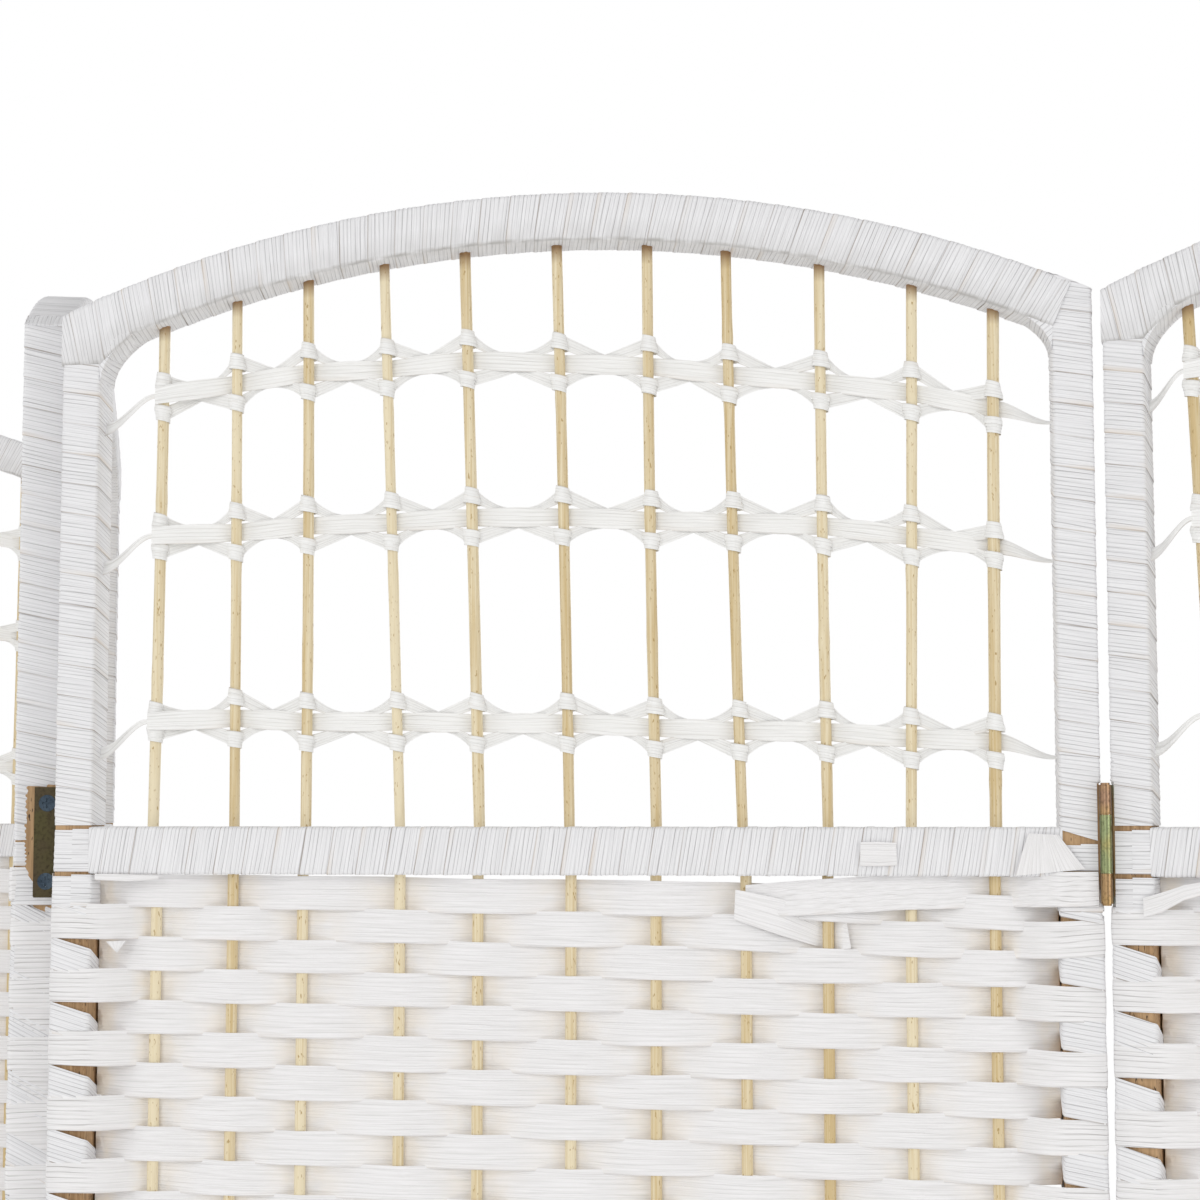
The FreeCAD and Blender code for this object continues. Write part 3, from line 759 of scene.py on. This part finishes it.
def end_cap(ribbons):
    """The ribbon's end that is laid over the arch's left end, short of its front edge."""
    low = arch_line(half_width, arch_inner_radius)
    high = arch_line(half_width, arch_radius) - end_gap

    def place(step, share, face):
        proud = end_proud + face * end_bulge * bulge(share)
        y = bare_edge + (panel_depth - bare_edge) * share
        return Vector((-half_width - proud, y, low + (high - low) * step / cap_steps))

    roll_ribbon(ribbons, cap_steps, thin_section(6), place, high - low, panel_depth)


def bind_rails(ribbons):
    """The two straight rails between the stiles, and the arch from the left edge to the right stile."""
    for top in (mid_rail_top, bottom_rail_top):
        turns = wind(ribbons, rail_bar, -inner_half - rail_pitch, 2 * inner_half / rail_pitch + rail_spare,
                     rail_pitch, rail_ribbon, rail_spot(top))
        turns = trim(ribbons, turns, (-inner_half - rail_tuck, 0, 0), (-1, 0, 0))
        trim(ribbons, turns, (inner_half + rail_tuck, 0, 0), (1, 0, 0))
    left = -arch_middle_radius * math.asin(half_width / arch_middle_radius)
    right = arch_middle_radius * math.asin(inner_half / arch_middle_radius)
    turns = wind(ribbons, arch_bar, left - rail_pitch, (right - left) / rail_pitch + arch_spare,
                 rail_pitch, rail_ribbon, arch_spot, seat=arch_seat, tint_and_painted_light=lower_front_edge)
    turns = trim(ribbons, turns, (-half_width - arch_proud, 0, 0), (-1, 0, 0))
    bend = right / arch_middle_radius
    stop = arch_spot(right + arch_overlap, Vector((0, 0)))
    trim(ribbons, turns, stop, (math.cos(bend), 0, -math.sin(bend)))
    end_cap(ribbons)


# %% [markdown]
# ## Gussets under the arch
# Where the arch meets a stile, a few turns of ribbon run round the inner corner and fill it with a small
# hollow curve. The ring here is that corner seen from the front, and the steps go from front to back,
# so that the pleats lie along the curve.

# %% Corner gussets
gusset_curve = 6
gusset_steps = 20
gusset_root = -1.5
gusset_inset = 0.5
gusset_pleats = (-0.1, 0.25)
gusset_arc = 1.6
gusset_sizes = {-1: 15.0, 1: 10.0}


def corner_gusset(ribbons, side, size):
    corner_z = arch_line(inner_half, arch_inner_radius)
    ring = [(k / gusset_curve, 1) for k in range(gusset_curve + 1)] + [(0.5, -1)]

    def place(step, share, face):
        if face < 0:
            along, down = gusset_root, gusset_root
        else:
            bend = math.radians(90 * share)
            pleat = gusset_pleats[step % 2]
            along, down = size * (1 - math.sin(bend)) - pleat, size * (1 - math.cos(bend)) - pleat
        x = inner_half - along
        y = gusset_inset + (panel_depth - 2 * gusset_inset) * step / gusset_steps
        rise = arch_line(x, arch_inner_radius) - corner_z
        return Vector((side * x, y, corner_z + rise * (1 - share) - down))

    roll_ribbon(ribbons, gusset_steps, ring, place, panel_depth, size * gusset_arc)


# %% Bindings of all panels
for panel in stands:
    hand = random.Random(seeds["bindings"] + panel)
    stile_ribbons = blank_ribbons()
    for side in (-1, 1):
        bind_stile(stile_ribbons, panel, side)
    finish_piece(stile_ribbons, panel, "stile_binding", wound_paper, "stile_wraps")
    rail_ribbons = blank_ribbons()
    bind_rails(rail_ribbons)
    for side, size in gusset_sizes.items():
        corner_gusset(rail_ribbons, side, size)
    finish_piece(rail_ribbons, panel, "rail_binding", wound_paper, "rail_wraps")

# %% [markdown]
# ## The weave
# Each row is one ribbon that passes the rods in front and behind by turns. A row that starts over the
# front of the left stile also ends over the right one, and the next row does the opposite, so one plan
# and its mirror image draw all rows. At both ends the ribbon goes round the stile's outer edge and ends
# out of sight. Slow noise lets each row wander and curl, and all rows sink a little to the right.

# %% Plan of a row
row_proud = 0.45
row_swing = rod_radius + 0.45
row_fold = 0.8
wrap_end = 1.5
wrap_bend = 1.0
wrap_corner = 0.6
gap_steps = 5
pocket_depth = 12.5


def ease(t):
    """A share of a way that starts and stops softly."""
    return t * t * (3 - 2 * t)


def row_plan(behind, long_float=None):
    """Plan of a row, from left to right, that lies over both stiles' fronts and behind the first rod.

    The plan of a row behind the stiles is turned round later, and it lies along their inner sides. A
    long float is a rod that the row passes in front of out of turn. The third number of each place is
    how free the ribbon is there to lean over: 0 at a rod, 1 in the middle of a gap.
    """
    outer = half_width + row_proud
    wrap = [(-outer, panel_depth - wrap_end, 0), (-outer, middle_y, 0), (-outer, wrap_bend, 0),
            (-half_width + wrap_corner, -row_proud, 0), (-half_width + stile_width / 2, -row_proud, 0)]
    bends = [(-inner_half - row_fold, -row_proud)]
    along_stile = (inner_half - wrap_corner, panel_depth - pocket_depth)
    if behind:
        bends.append((-along_stile[0], along_stile[1]))
    for index in range(rod_count):
        swing = -row_swing if index == long_float else row_swing * (-1) ** index
        bends.append((lower_rod_x(index), middle_y + swing))
    if behind:
        bends.append(along_stile)
    bends.append((inner_half + row_fold, -row_proud))
    plan = list(wrap)
    for (x0, y0), (x1, y1) in zip(bends, bends[1:]):
        free = 1.0 if abs(x1 - x0) > stile_width else 0.0
        for k in range(gap_steps):
            t = k / gap_steps
            plan.append((x0 + (x1 - x0) * t, y0 + (y1 - y0) * ease(t), free * bulge(t)))
    plan.append((*bends[-1], 0))
    return plan + [(-x, y, free) for x, y, free in reversed(wrap)]


def outward(plan):
    """Directions square to a plan, to its front side."""
    ends = [plan[0]] + plan + [plan[-1]]
    out = []
    for before, after in zip(ends, ends[2:]):
        way = (after - before).xy.normalized()
        out.append(Vector((way.y, -way.x)))
    return out


# %% Rows of ribbon
row_section = pleated_section(3)
row_thickness = 0.3
row_curl = 0.5
row_wander = 0.8
row_narrowing = 0.07
row_crinkle = 0.2
row_width = 14.7
row_lean = 2.6
# The lower the pace of a noise across the panel, the longer its waves.
wander_waves, narrow_waves, curl_waves, crinkle_waves = 0.012, 0.02, 0.03, 0.04
closing_start = 72.0
closing_room = 5.5
second_room = 4.4
closing_forward = 0.9
closing_height = -8.4
closing_rise = 3.4
closing_dip = 3.1
closing_dip_reach = 65.0
# Painted light: the warm tone behind the rods is full this deep behind the middle, and stronger by
# pocket_warmth in the pockets beside the stiles.
warm_depth = 8.0
pocket_warmth = 2.6
pocket_start = lower_rod_x(rod_count - 1) + 3.0
outermost = half_width - 0.7


def row_level(row):
    """Height of a row's middle across the panel."""
    middle = bottom_rail_top + (row + 0.5) * row_pitch
    return lambda x: middle + dropped(x, middle)


def past_closing_start(x):
    """0 where the short last row starts, 1 at the panel's right edge."""
    return max(0.0, x - closing_start) / (half_width - closing_start)


def top_row_level(x):
    """Height of the topmost long row, which makes room for the short one to the right."""
    return row_level(row_count - 1)(x) - closing_room * past_closing_start(x)


def second_row_level(x):
    """Height of the long row below, which is pushed down midway and is back in its place at the edge."""
    t = past_closing_start(x)
    return row_level(row_count - 2)(x) - second_room * 2 * t * (1 - t)


def closing_level(x):
    """Height of the short last row under the mid rail, which dips at its start and rises to the right."""
    dip = closing_dip * max(0.0, 1 - (x - closing_start) / closing_dip_reach)
    return mid_rail_bottom + closing_height + closing_rise * past_closing_start(x) - dip


def weave_row(ribbons, panel, over_stiles, level, from_x=-panel_width, long_float=None, forward=0.0):
    """One row of the weave, which lies over the stiles' fronts or passes behind them."""
    plan = [Vector((x, (y if over_stiles else panel_depth - y) - forward, free))
            for x, y, free in row_plan(not over_stiles, long_float) if x >= from_x]
    for spot in plan:
        side = 1 if spot.x > 0 else -1
        near = any(under_leaf(panel, side, spot.y, level(spot.x) + step)
                   for step in (-row_pitch / 2, 0, row_pitch / 2))
        if abs(spot.x) > outermost and near:
            spot.x = side * (half_width + pressed_in)
    out = outward(plan)
    seed = hand.uniform(0, noise_span)

    def place(step, share, face):
        x, y, free = plan[step]
        wander = row_wander * noise.noise(Vector((x * wander_waves, seed, 0.0)))
        narrow = 1 + row_narrowing * noise.noise(Vector((x * narrow_waves, seed, 9.0)))
        z = level(x) + (share - 0.5) * row_width * narrow + wander
        curl = row_curl * (2 * share - 1) ** 2 * noise.noise(Vector((x * curl_waves, seed, 5.0)))
        crinkle = row_crinkle * noise.noise(Vector((x * crinkle_waves, share * 7.0, seed)))
        lift = row_thickness * min(1.0, 12 * share * (1 - share)) + curl + crinkle
        lean = row_lean * free * (share - 0.5)
        return Vector((x + out[step].x * lift, y + out[step].y * lift + lean, z))

    # Paper gathered over the stiles gets stronger painted crease shade.
    def on_stile(step):
        return 1.0 if abs(plan[step].x) > inner_half else 0.0

    def at_back(step):
        """Painted light: a warm tone that stands in for light shining through the paper, behind the rods and
        most of all in the pockets beside the stiles.
        """
        x, y = abs(plan[step].x), plan[step].y
        deep = (y - middle_y) / warm_depth * (pocket_warmth if x > pocket_start else 1.0)
        return max(0.0, min(1.0, deep)) if x < inner_half else 0.0

    roll_ribbon(ribbons, len(plan) - 1, row_section, place, panel_width + 2 * panel_depth, row_width,
                gathered=on_stile, tint_and_painted_light=at_back, folded=True)


# %% [markdown]
# ## Loose ends
# Hand work leaves traces: an end tucked under the next row, a patch over a thin spot, a corner that is
# folded over. Each is a small flap, given by its two edges as seen from the front, from the mid rail's top.

# %% Loose ends and all rows
flap_steps = 12
flap_bulge = 0.2


def flap(ribbons, depths, one_edge, other_edge):
    """A flap between two edges; depths, one_edge and other_edge hold the same number of stations."""
    def between(values, t):
        number = min(int(t * (len(values) - 1)), len(values) - 2)
        return values[number] + (values[number + 1] - values[number]) * (t * (len(values) - 1) - number)

    one = [Vector(point) for point in one_edge]
    other = [Vector(point) for point in other_edge]

    def place(step, share, face):
        t = step / flap_steps
        x, z = between(one, t).lerp(between(other, t), share)
        y = between(depths, t) - face * flap_bulge * bulge(share)
        return Vector((x, y, mid_rail_top + z))

    length, width = (one[-1] - one[0]).length, (other[0] - one[0]).length
    roll_ribbon(ribbons, flap_steps, thin_section(6), place, length, width)


rod_front = middle_y - rod_radius - 1.2
long_float_rod = 8
# For each panel, the flaps: depths, then the lower or left edge and the upper or right edge as (x, z).
loose_ends = {
    3: (((rod_front - 0.8, rod_front - 1.6, rod_front - 0.9, middle_y + 0.6, middle_y + 3.4),
         ((71.8, -39.0), (77.0, -40.8), (92.0, -45.8), (106.0, -50.2), (115.0, -52.0)),
         ((72.4, -26.5), (78.0, -27.4), (93.0, -30.6), (107.0, -38.0), (116.0, -41.0))),
        ((middle_y + 1.4, middle_y - 1.2, middle_y - 2.4), ((113.6, -51.0), (117.2, -51.6), (121.0, -51.0)),
         ((113.6, -38.6), (117.4, -38.2), (119.2, -39.6))),
        ((-1.0, -1.2, -1.0), ((125.2, -16.3), (133.0, -16.4), (140.6, -16.0)),
         ((125.4, -6.3), (133.0, -6.2), (140.4, -6.6))),
        ((-1.1, -1.4, -1.1), ((189.2, -20.2), (192.0, -11.0), (195.0, -2.6)),
         ((218.0, -17.4), (212.6, -10.4), (207.2, -3.2))),
        ((-0.2, -0.6, 0.4), ((-205.8, -23.2), (-191.0, -23.6), (-177.6, -22.8)),
         ((-205.8, -20.4), (-191.0, -20.6), (-177.6, -20.9))),
        ((1.5, 1.0, 1.5), ((-200.8, -49.6), (-198.4, -52.0), (-196.0, -54.4)),
         ((-191.8, -49.3), (-193.6, -51.8), (-195.4, -54.2)))),
    4: (((-1.4, -2.6, -4.0, -2.6, 4.0),
         ((-212.0, -37.0), (-204.0, -34.6), (-195.0, -29.6), (-184.0, -26.4), (-170.0, -26.0)),
         ((-212.0, -29.0), (-204.0, -26.6), (-195.0, -23.6), (-184.0, -21.6), (-170.0, -21.0))),),
}

for panel in stands:
    hand = random.Random(seeds["rows"] + panel)
    rows = blank_ribbons()
    for row in range(row_count - 2):
        weave_row(rows, panel, row % 2 == 1, row_level(row))
    weave_row(rows, panel, True, second_row_level)
    weave_row(rows, panel, False, top_row_level)
    weave_row(rows, panel, True, closing_level, closing_start, long_float_rod, closing_forward)
    for depths, one_edge, other_edge in loose_ends.get(panel, ()):
        flap(rows, depths, one_edge, other_edge)
    finish_piece(rows, panel, "woven_rows", woven_paper, "weave")

# %% [markdown]
# ## Bamboo rods of the lattice
# The open rods show from end to end, so they get what a plain cylinder lacks: a slight bow, a thickness
# that changes from rod to rod, and the low rings of the cane's nodes.

# %% Lattice rods
rod_sides = 12
rod_steps = 36
rod_tenon = 6.0
cane_ring = 0.22
cane_unevenness = 0.03
rod_bow = 0.6
rod_thickness = (0.94, 1.12)
ring_places = (0.05, 0.95)
uneven_waves = 6


def lattice_rod(rods, panel, index):
    seed = hand.uniform(0, noise_span)
    thick = hand.uniform(*rod_thickness)
    bow = hand.uniform(-rod_bow, rod_bow)
    nodes = [hand.uniform(*ring_places) for _ in range(2)]
    low = mid_rail_top - rod_tenon
    high = arch_line(upper_rod_x(panel, index, panel_height - arch_rise), arch_inner_radius) + rod_tenon

    def place(step, share, face):
        t = step / rod_steps
        z = low + (high - low) * t
        angle = 2 * math.pi * share
        ring = sum(max(0.0, 1 - abs(t - at) * rod_steps) for at in nodes)
        uneven = 1 + cane_unevenness * noise.noise(Vector((t * uneven_waves, math.cos(angle), seed)))
        radius = rod_radius * thick * uneven + cane_ring * ring
        x = upper_rod_x(panel, index, z) + bow * math.sin(math.pi * t) + radius * math.cos(angle)
        return Vector((x, middle_y + radius * math.sin(angle), z))

    ring = [(k / rod_sides, 1) for k in range(rod_sides)]
    roll_ribbon(rods, rod_steps, ring, place, high - low, 2 * math.pi * rod_radius,
                tint_and_painted_light=lambda step: 1.0 if step >= rod_steps - 1 else 0.0)


for panel in stands:
    hand = random.Random(seeds["rods"] + panel)
    rods = blank_ribbons()
    for index in range(rod_count):
        lattice_rod(rods, panel, index)
    finish_piece(rods, panel, "lattice_rods", bamboo, "upper_rods")

# %% [markdown]
# ## The lace
# Three bands of ribbon tie the open rods together. A pleated core starts in front of the first rod and
# runs straight on behind the others. At each rod it is held by two knots of a few turns, and from every
# knot a strand runs to the middle of the next gap. On one side of a gap the two strands cross in a sharp
# V, on the other they lie along the core in a shallow curve, and the sides change over from gap to gap.

# %% Where the lace lies
# For each band: its height over the mid rail, its drift at each rod, and how far the knots are apart at
# the first and the last rod.
top_lace = (197.0, (-6.5, -0.6, 3.6, 4.5, 7.7, 5.3, 3.2, -1.4, -5.2, -10.8, -18.4), (14.6, 15.4))
middle_lace = (131.0, (-3.0, -1.3, 1.2, 2.2, 3.8, 3.5, 1.3, 0.0, -2.0, -7.0, -11.7), (13.4, 12.8))
lowest_lace = (45.5, (0.5, 2.0, 0.1, 0.1, -0.7, -0.9, -3.0, -4.5, -5.1, -8.0, -9.4), (10.4, 16.2))
knot_spacing = 18.6
knot_length = 8.4
core_width = 8.8
core_y = middle_y + rod_radius + 0.5
front_y = middle_y - rod_radius - 1.5


def lace_points(panel, band):
    """Middle of a band at each rod, as (x, z)."""
    height, drift, _ = band
    levels = [mid_rail_top + height + d for d in drift]
    return [Vector((upper_rod_x(panel, i, z), z)) for i, z in enumerate(levels)]


def knots_apart(band):
    """How far the two knots are apart at each rod: they sit closer at the band's first and last rod."""
    first_rod, last_rod = band[2]
    return [first_rod] + [knot_spacing] * (rod_count - 2) + [last_rod]


# %% Knots
knot_stations = 9
knot_turns = 4.0
knot_section = pleated_section(1)
knot_clear = 0.2
knot_thick = 0.35
knot_overlap = 0.25
knot_pleat = 0.2
knot_flare = 0.34
knot_ribbon = 20.0
knot_slant = (0.2, 0.6)
knot_bulk = (0.9, 1.15)


def knot(ribbons, middle, side, apart):
    """A few slanted turns of ribbon round a rod, wider towards the core; side is 1 above it, -1 below."""
    slant = hand.uniform(*knot_slant)
    bulk = hand.uniform(*knot_bulk)
    steps = round(knot_turns * knot_stations)
    width = 1.5 * knot_length / knot_turns

    def place(step, share, face):
        turn = step / knot_stations
        angle = math.pi + 2 * math.pi * turn
        down = turn / knot_turns
        inner = down if side > 0 else 1 - down
        thick = knot_thick + knot_overlap * share + (knot_pleat if share == 0.5 else 0.0)
        radius = rod_radius + knot_clear + thick * bulk
        wide = radius * (1 + knot_flare * inner ** 2)
        z = middle.y + side * apart / 2 + (0.5 - down) * (knot_length - width) - (share - 0.5) * width
        return Vector((middle.x + wide * math.sin(angle), middle_y - radius * math.cos(angle),
                       z - slant * math.sin(angle)))

    roll_ribbon(ribbons, steps, knot_section, place, knot_ribbon * knot_turns, width)


# %% Core, strands and tails
core_steps = 4
core_slack = 0.8
core_start = rod_radius + 0.3
core_bulge = 0.16
core_pinch = 0.16
core_pleat = 0.22
strand_steps = 8
strand_section = pleated_section(2)
strand_width = 8.0
strand_start = 1.8
strand_curve = 2.2
strand_pleat = 0.2
strand_crimp = 0.15
strand_dive = 1.8
strand_depth = middle_y + 0.9
# How far behind the core a strand to the right, 1, and one to the left, -1, runs in.
strand_behind = {1: 0.7, -1: 0.35}
# How far inside the knot's outer and inner end a strand starts.
strand_inset = (1.4, 0.6)
# For sharp strands and for curved ones: how far along the gap they end, and how far inside the core's edge.
strand_end = {True: (0.62, 1.6), False: (0.5, 0.4)}
strand_cover = 5.5
tail_steps = 12
tail_taper = 1.2
tail_bulge = 0.2


def lace_core(ribbons, points):
    """The pleated ribbon that starts in front of the first rod and runs on straight behind the others."""
    seed = hand.uniform(0, noise_span)
    steps = core_steps * (len(points) - 1)

    def place(step, share, face):
        gap, part = divmod(min(step, steps - 1), core_steps)
        t = part / core_steps if step < steps else 1.0
        middle = points[gap].lerp(points[gap + 1], t)
        slack = math.sin(math.pi * t)
        width = core_width * (1 - core_pinch * (1 - slack))
        pleat = core_pleat * noise.noise(Vector((share * 8.0, step * 0.15, seed)))
        in_front = max(0.0, 1 - step / core_steps)
        y = core_y + (front_y - core_y) * ease(in_front)
        y += pleat - core_slack * slack - face * core_bulge * bulge(share)
        return Vector((middle.x - core_start * in_front, y, middle.y + (share - 0.5) * width))

    roll_ribbon(ribbons, steps, thin_section(5), place, points[-1].x - points[0].x, core_width)


def lace_strand(ribbons, here, there, side, sharp, apart):
    """A strand from the knot at here towards the knot at there, that runs in behind the core's edge."""
    way = 1 if there.x > here.x else -1
    reach, tuck = strand_end[sharp]
    end = here.lerp(there, reach)
    outer_start = here.y + side * (apart / 2 + knot_length / 2 - strand_inset[0])
    inner_start = here.y + side * (apart / 2 - knot_length / 2 + strand_inset[1])
    outer_end = end.y + side * (core_width / 2 - tuck)
    inner_end = end.y + side * (core_width / 2 - strand_cover)
    depth_end = core_y + strand_behind[way]
    seed = hand.uniform(0, noise_span)

    def place(step, share, face):
        t = step / strand_steps
        hug = t if sharp else 1 - (1 - t) ** strand_curve
        outer = outer_start + (outer_end - outer_start) * hug
        inner = inner_start + (inner_end - inner_start) * t
        x = here.x + way * strand_start + (end.x - here.x - way * strand_start) * t
        depth = strand_depth + (depth_end - strand_depth) * min(1.0, strand_dive * t)
        pleat = strand_pleat if round(share * 4) % 2 else 0.0
        pleat += strand_crimp * noise.noise(Vector((share * 4.0, t * 2.0, seed)))
        return Vector((x, depth - pleat, inner + (outer - inner) * share))

    roll_ribbon(ribbons, strand_steps, strand_section, place, (end - here).length, strand_width)


def lace_tail(ribbons, rod, end, depth, start_width, end_width, twist):
    """A twisted end of the band, which sags from its last rod to the stile."""
    def place(step, share, face):
        t = step / tail_steps
        x = rod.x + (end.x - rod.x) * t
        z = rod.y + (end.y - rod.y) * ease(t)
        turn = twist * ease(t)
        across = (share - 0.5) * (start_width + (end_width - start_width) * t ** tail_taper)
        thick = face * tail_bulge * bulge(share)
        y = depth + (middle_y - depth) * t + across * math.sin(turn) - thick * math.cos(turn)
        return Vector((x, y, z + across * math.cos(turn) + thick * math.sin(turn)))

    roll_ribbon(ribbons, tail_steps, thin_section(4), place, (end - rod).length, start_width)


# %% Lace of all panels
left_tail_drop = 14.0
right_tail_drop = 7.0
tail_tuck = inner_half + 0.3
# Width at the rod and at the stile, and the twist between them.
left_tail = (2.2, 7.0, math.pi * 0.14)
right_tail = (7.6, 1.6, math.pi * 0.2)

for panel in stands:
    hand = random.Random(seeds["lace"] + panel)
    lace = blank_ribbons()
    for band in (top_lace, middle_lace, lowest_lace):
        points = lace_points(panel, band)
        apart = knots_apart(band)
        lace_core(lace, points)
        for middle, spread in zip(points, apart):
            for side in (1, -1):
                knot(lace, middle, side, spread)
        for gap, (left, right) in enumerate(zip(points, points[1:])):
            for side in (1, -1):
                sharp = (gap + (side > 0)) % 2 == 0
                lace_strand(lace, left, right, side, sharp, apart[gap])
                lace_strand(lace, right, left, side, sharp, apart[gap + 1])
        left_end = Vector((-tail_tuck, points[0].y - left_tail_drop))
        lace_tail(lace, points[0] - Vector((rod_radius, 0)), left_end, front_y, *left_tail)
        right_end = Vector((tail_tuck, points[-1].y - right_tail_drop))
        lace_tail(lace, points[-1], right_end, core_y, *right_tail)
    finish_piece(lace, panel, "lace_bands", laced_paper, "lace")

# %% [markdown]
# ## Floor and light
# A pale floor under the screen, a white surround for the camera and for reflections, and soft light: the
# surround lights everything evenly, and five wide lamps round the screen, the strongest of those in front
# from the upper left, give the pleats and the rows their shade.

# %% Floor
floor_mesh = bmesh.new()
bmesh.ops.create_grid(floor_mesh, x_segments=1, y_segments=1, size=4.0)
floor_data = bpy.data.meshes.new("floor")
floor_mesh.to_mesh(floor_data)
floor_mesh.free()
floor = bpy.data.objects.new("floor", floor_data)
bpy.context.scene.collection.objects.link(floor)
floor_finish, floor_tree = blank_material("pale studio floor")
matt = node(floor_tree, "BsdfPrincipled", {"Base Color": linear("#f6f6f5"), "Roughness": 0.9})
node(floor_tree, "OutputMaterial", {"Surface": matt})
floor_data.materials.append(floor_finish)

# %% World and lamps
world = bpy.data.worlds.new("white studio")
bpy.context.scene.world = world
world.use_nodes = True
sky = world.node_tree
sky.nodes.clear()
ray = node(sky, "LightPath", {}).outputs
seen = node(sky, "Math", {0: ray["Is Camera Ray"], 1: ray["Is Glossy Ray"]}, operation="MAXIMUM")
seen = node(sky, "Math", {0: seen, 1: ray["Is Transmission Ray"]}, operation="MAXIMUM")
even_light = node(sky, "Background", {"Color": linear("#fdfcfb"), "Strength": 0.585})
white_ground = node(sky, "Background", {"Color": (1, 1, 1, 1), "Strength": 1.0})
shown = node(sky, "MixShader", {0: seen, 1: even_light, 2: white_ground})
node(sky, "OutputWorld", {"Surface": shown})

# Each lamp's name, place, aim, width in metres and power in watts.
lamps = (("front_lamp", (-0.9, -3.6, 2.3), (0.0, 0.0, 1.3), 2.2, 24.0),
         ("left_lamp", (-3.0, -1.6, 2.4), (0.0, 0.0, 1.2), 1.8, 17.0),
         ("right_lamp", (2.8, -2.2, 1.6), (0.0, 0.0, 1.3), 1.8, 18.0),
         ("low_lamp", (0.2, -1.8, 0.2), (0.1, 0.0, 1.6), 1.4, 4.0),
         ("back_lamp", (0.8, 3.4, 2.4), (0.0, 0.0, 1.1), 2.4, 40.0))
for name, place, aim, size, power in lamps:
    lamp = bpy.data.objects.new(name, bpy.data.lights.new(name, "AREA"))
    lamp.data.shape = "DISK"
    lamp.data.size = size
    lamp.data.energy = power
    lamp.location = place
    lamp.rotation_mode = "QUATERNION"
    lamp.rotation_quaternion = (Vector(aim) - Vector(place)).to_track_quat("-Z", "Y")
    bpy.context.scene.collection.objects.link(lamp)
print(len(lamps), "lamps")
bpy.context.scene.view_settings.view_transform = "Standard"
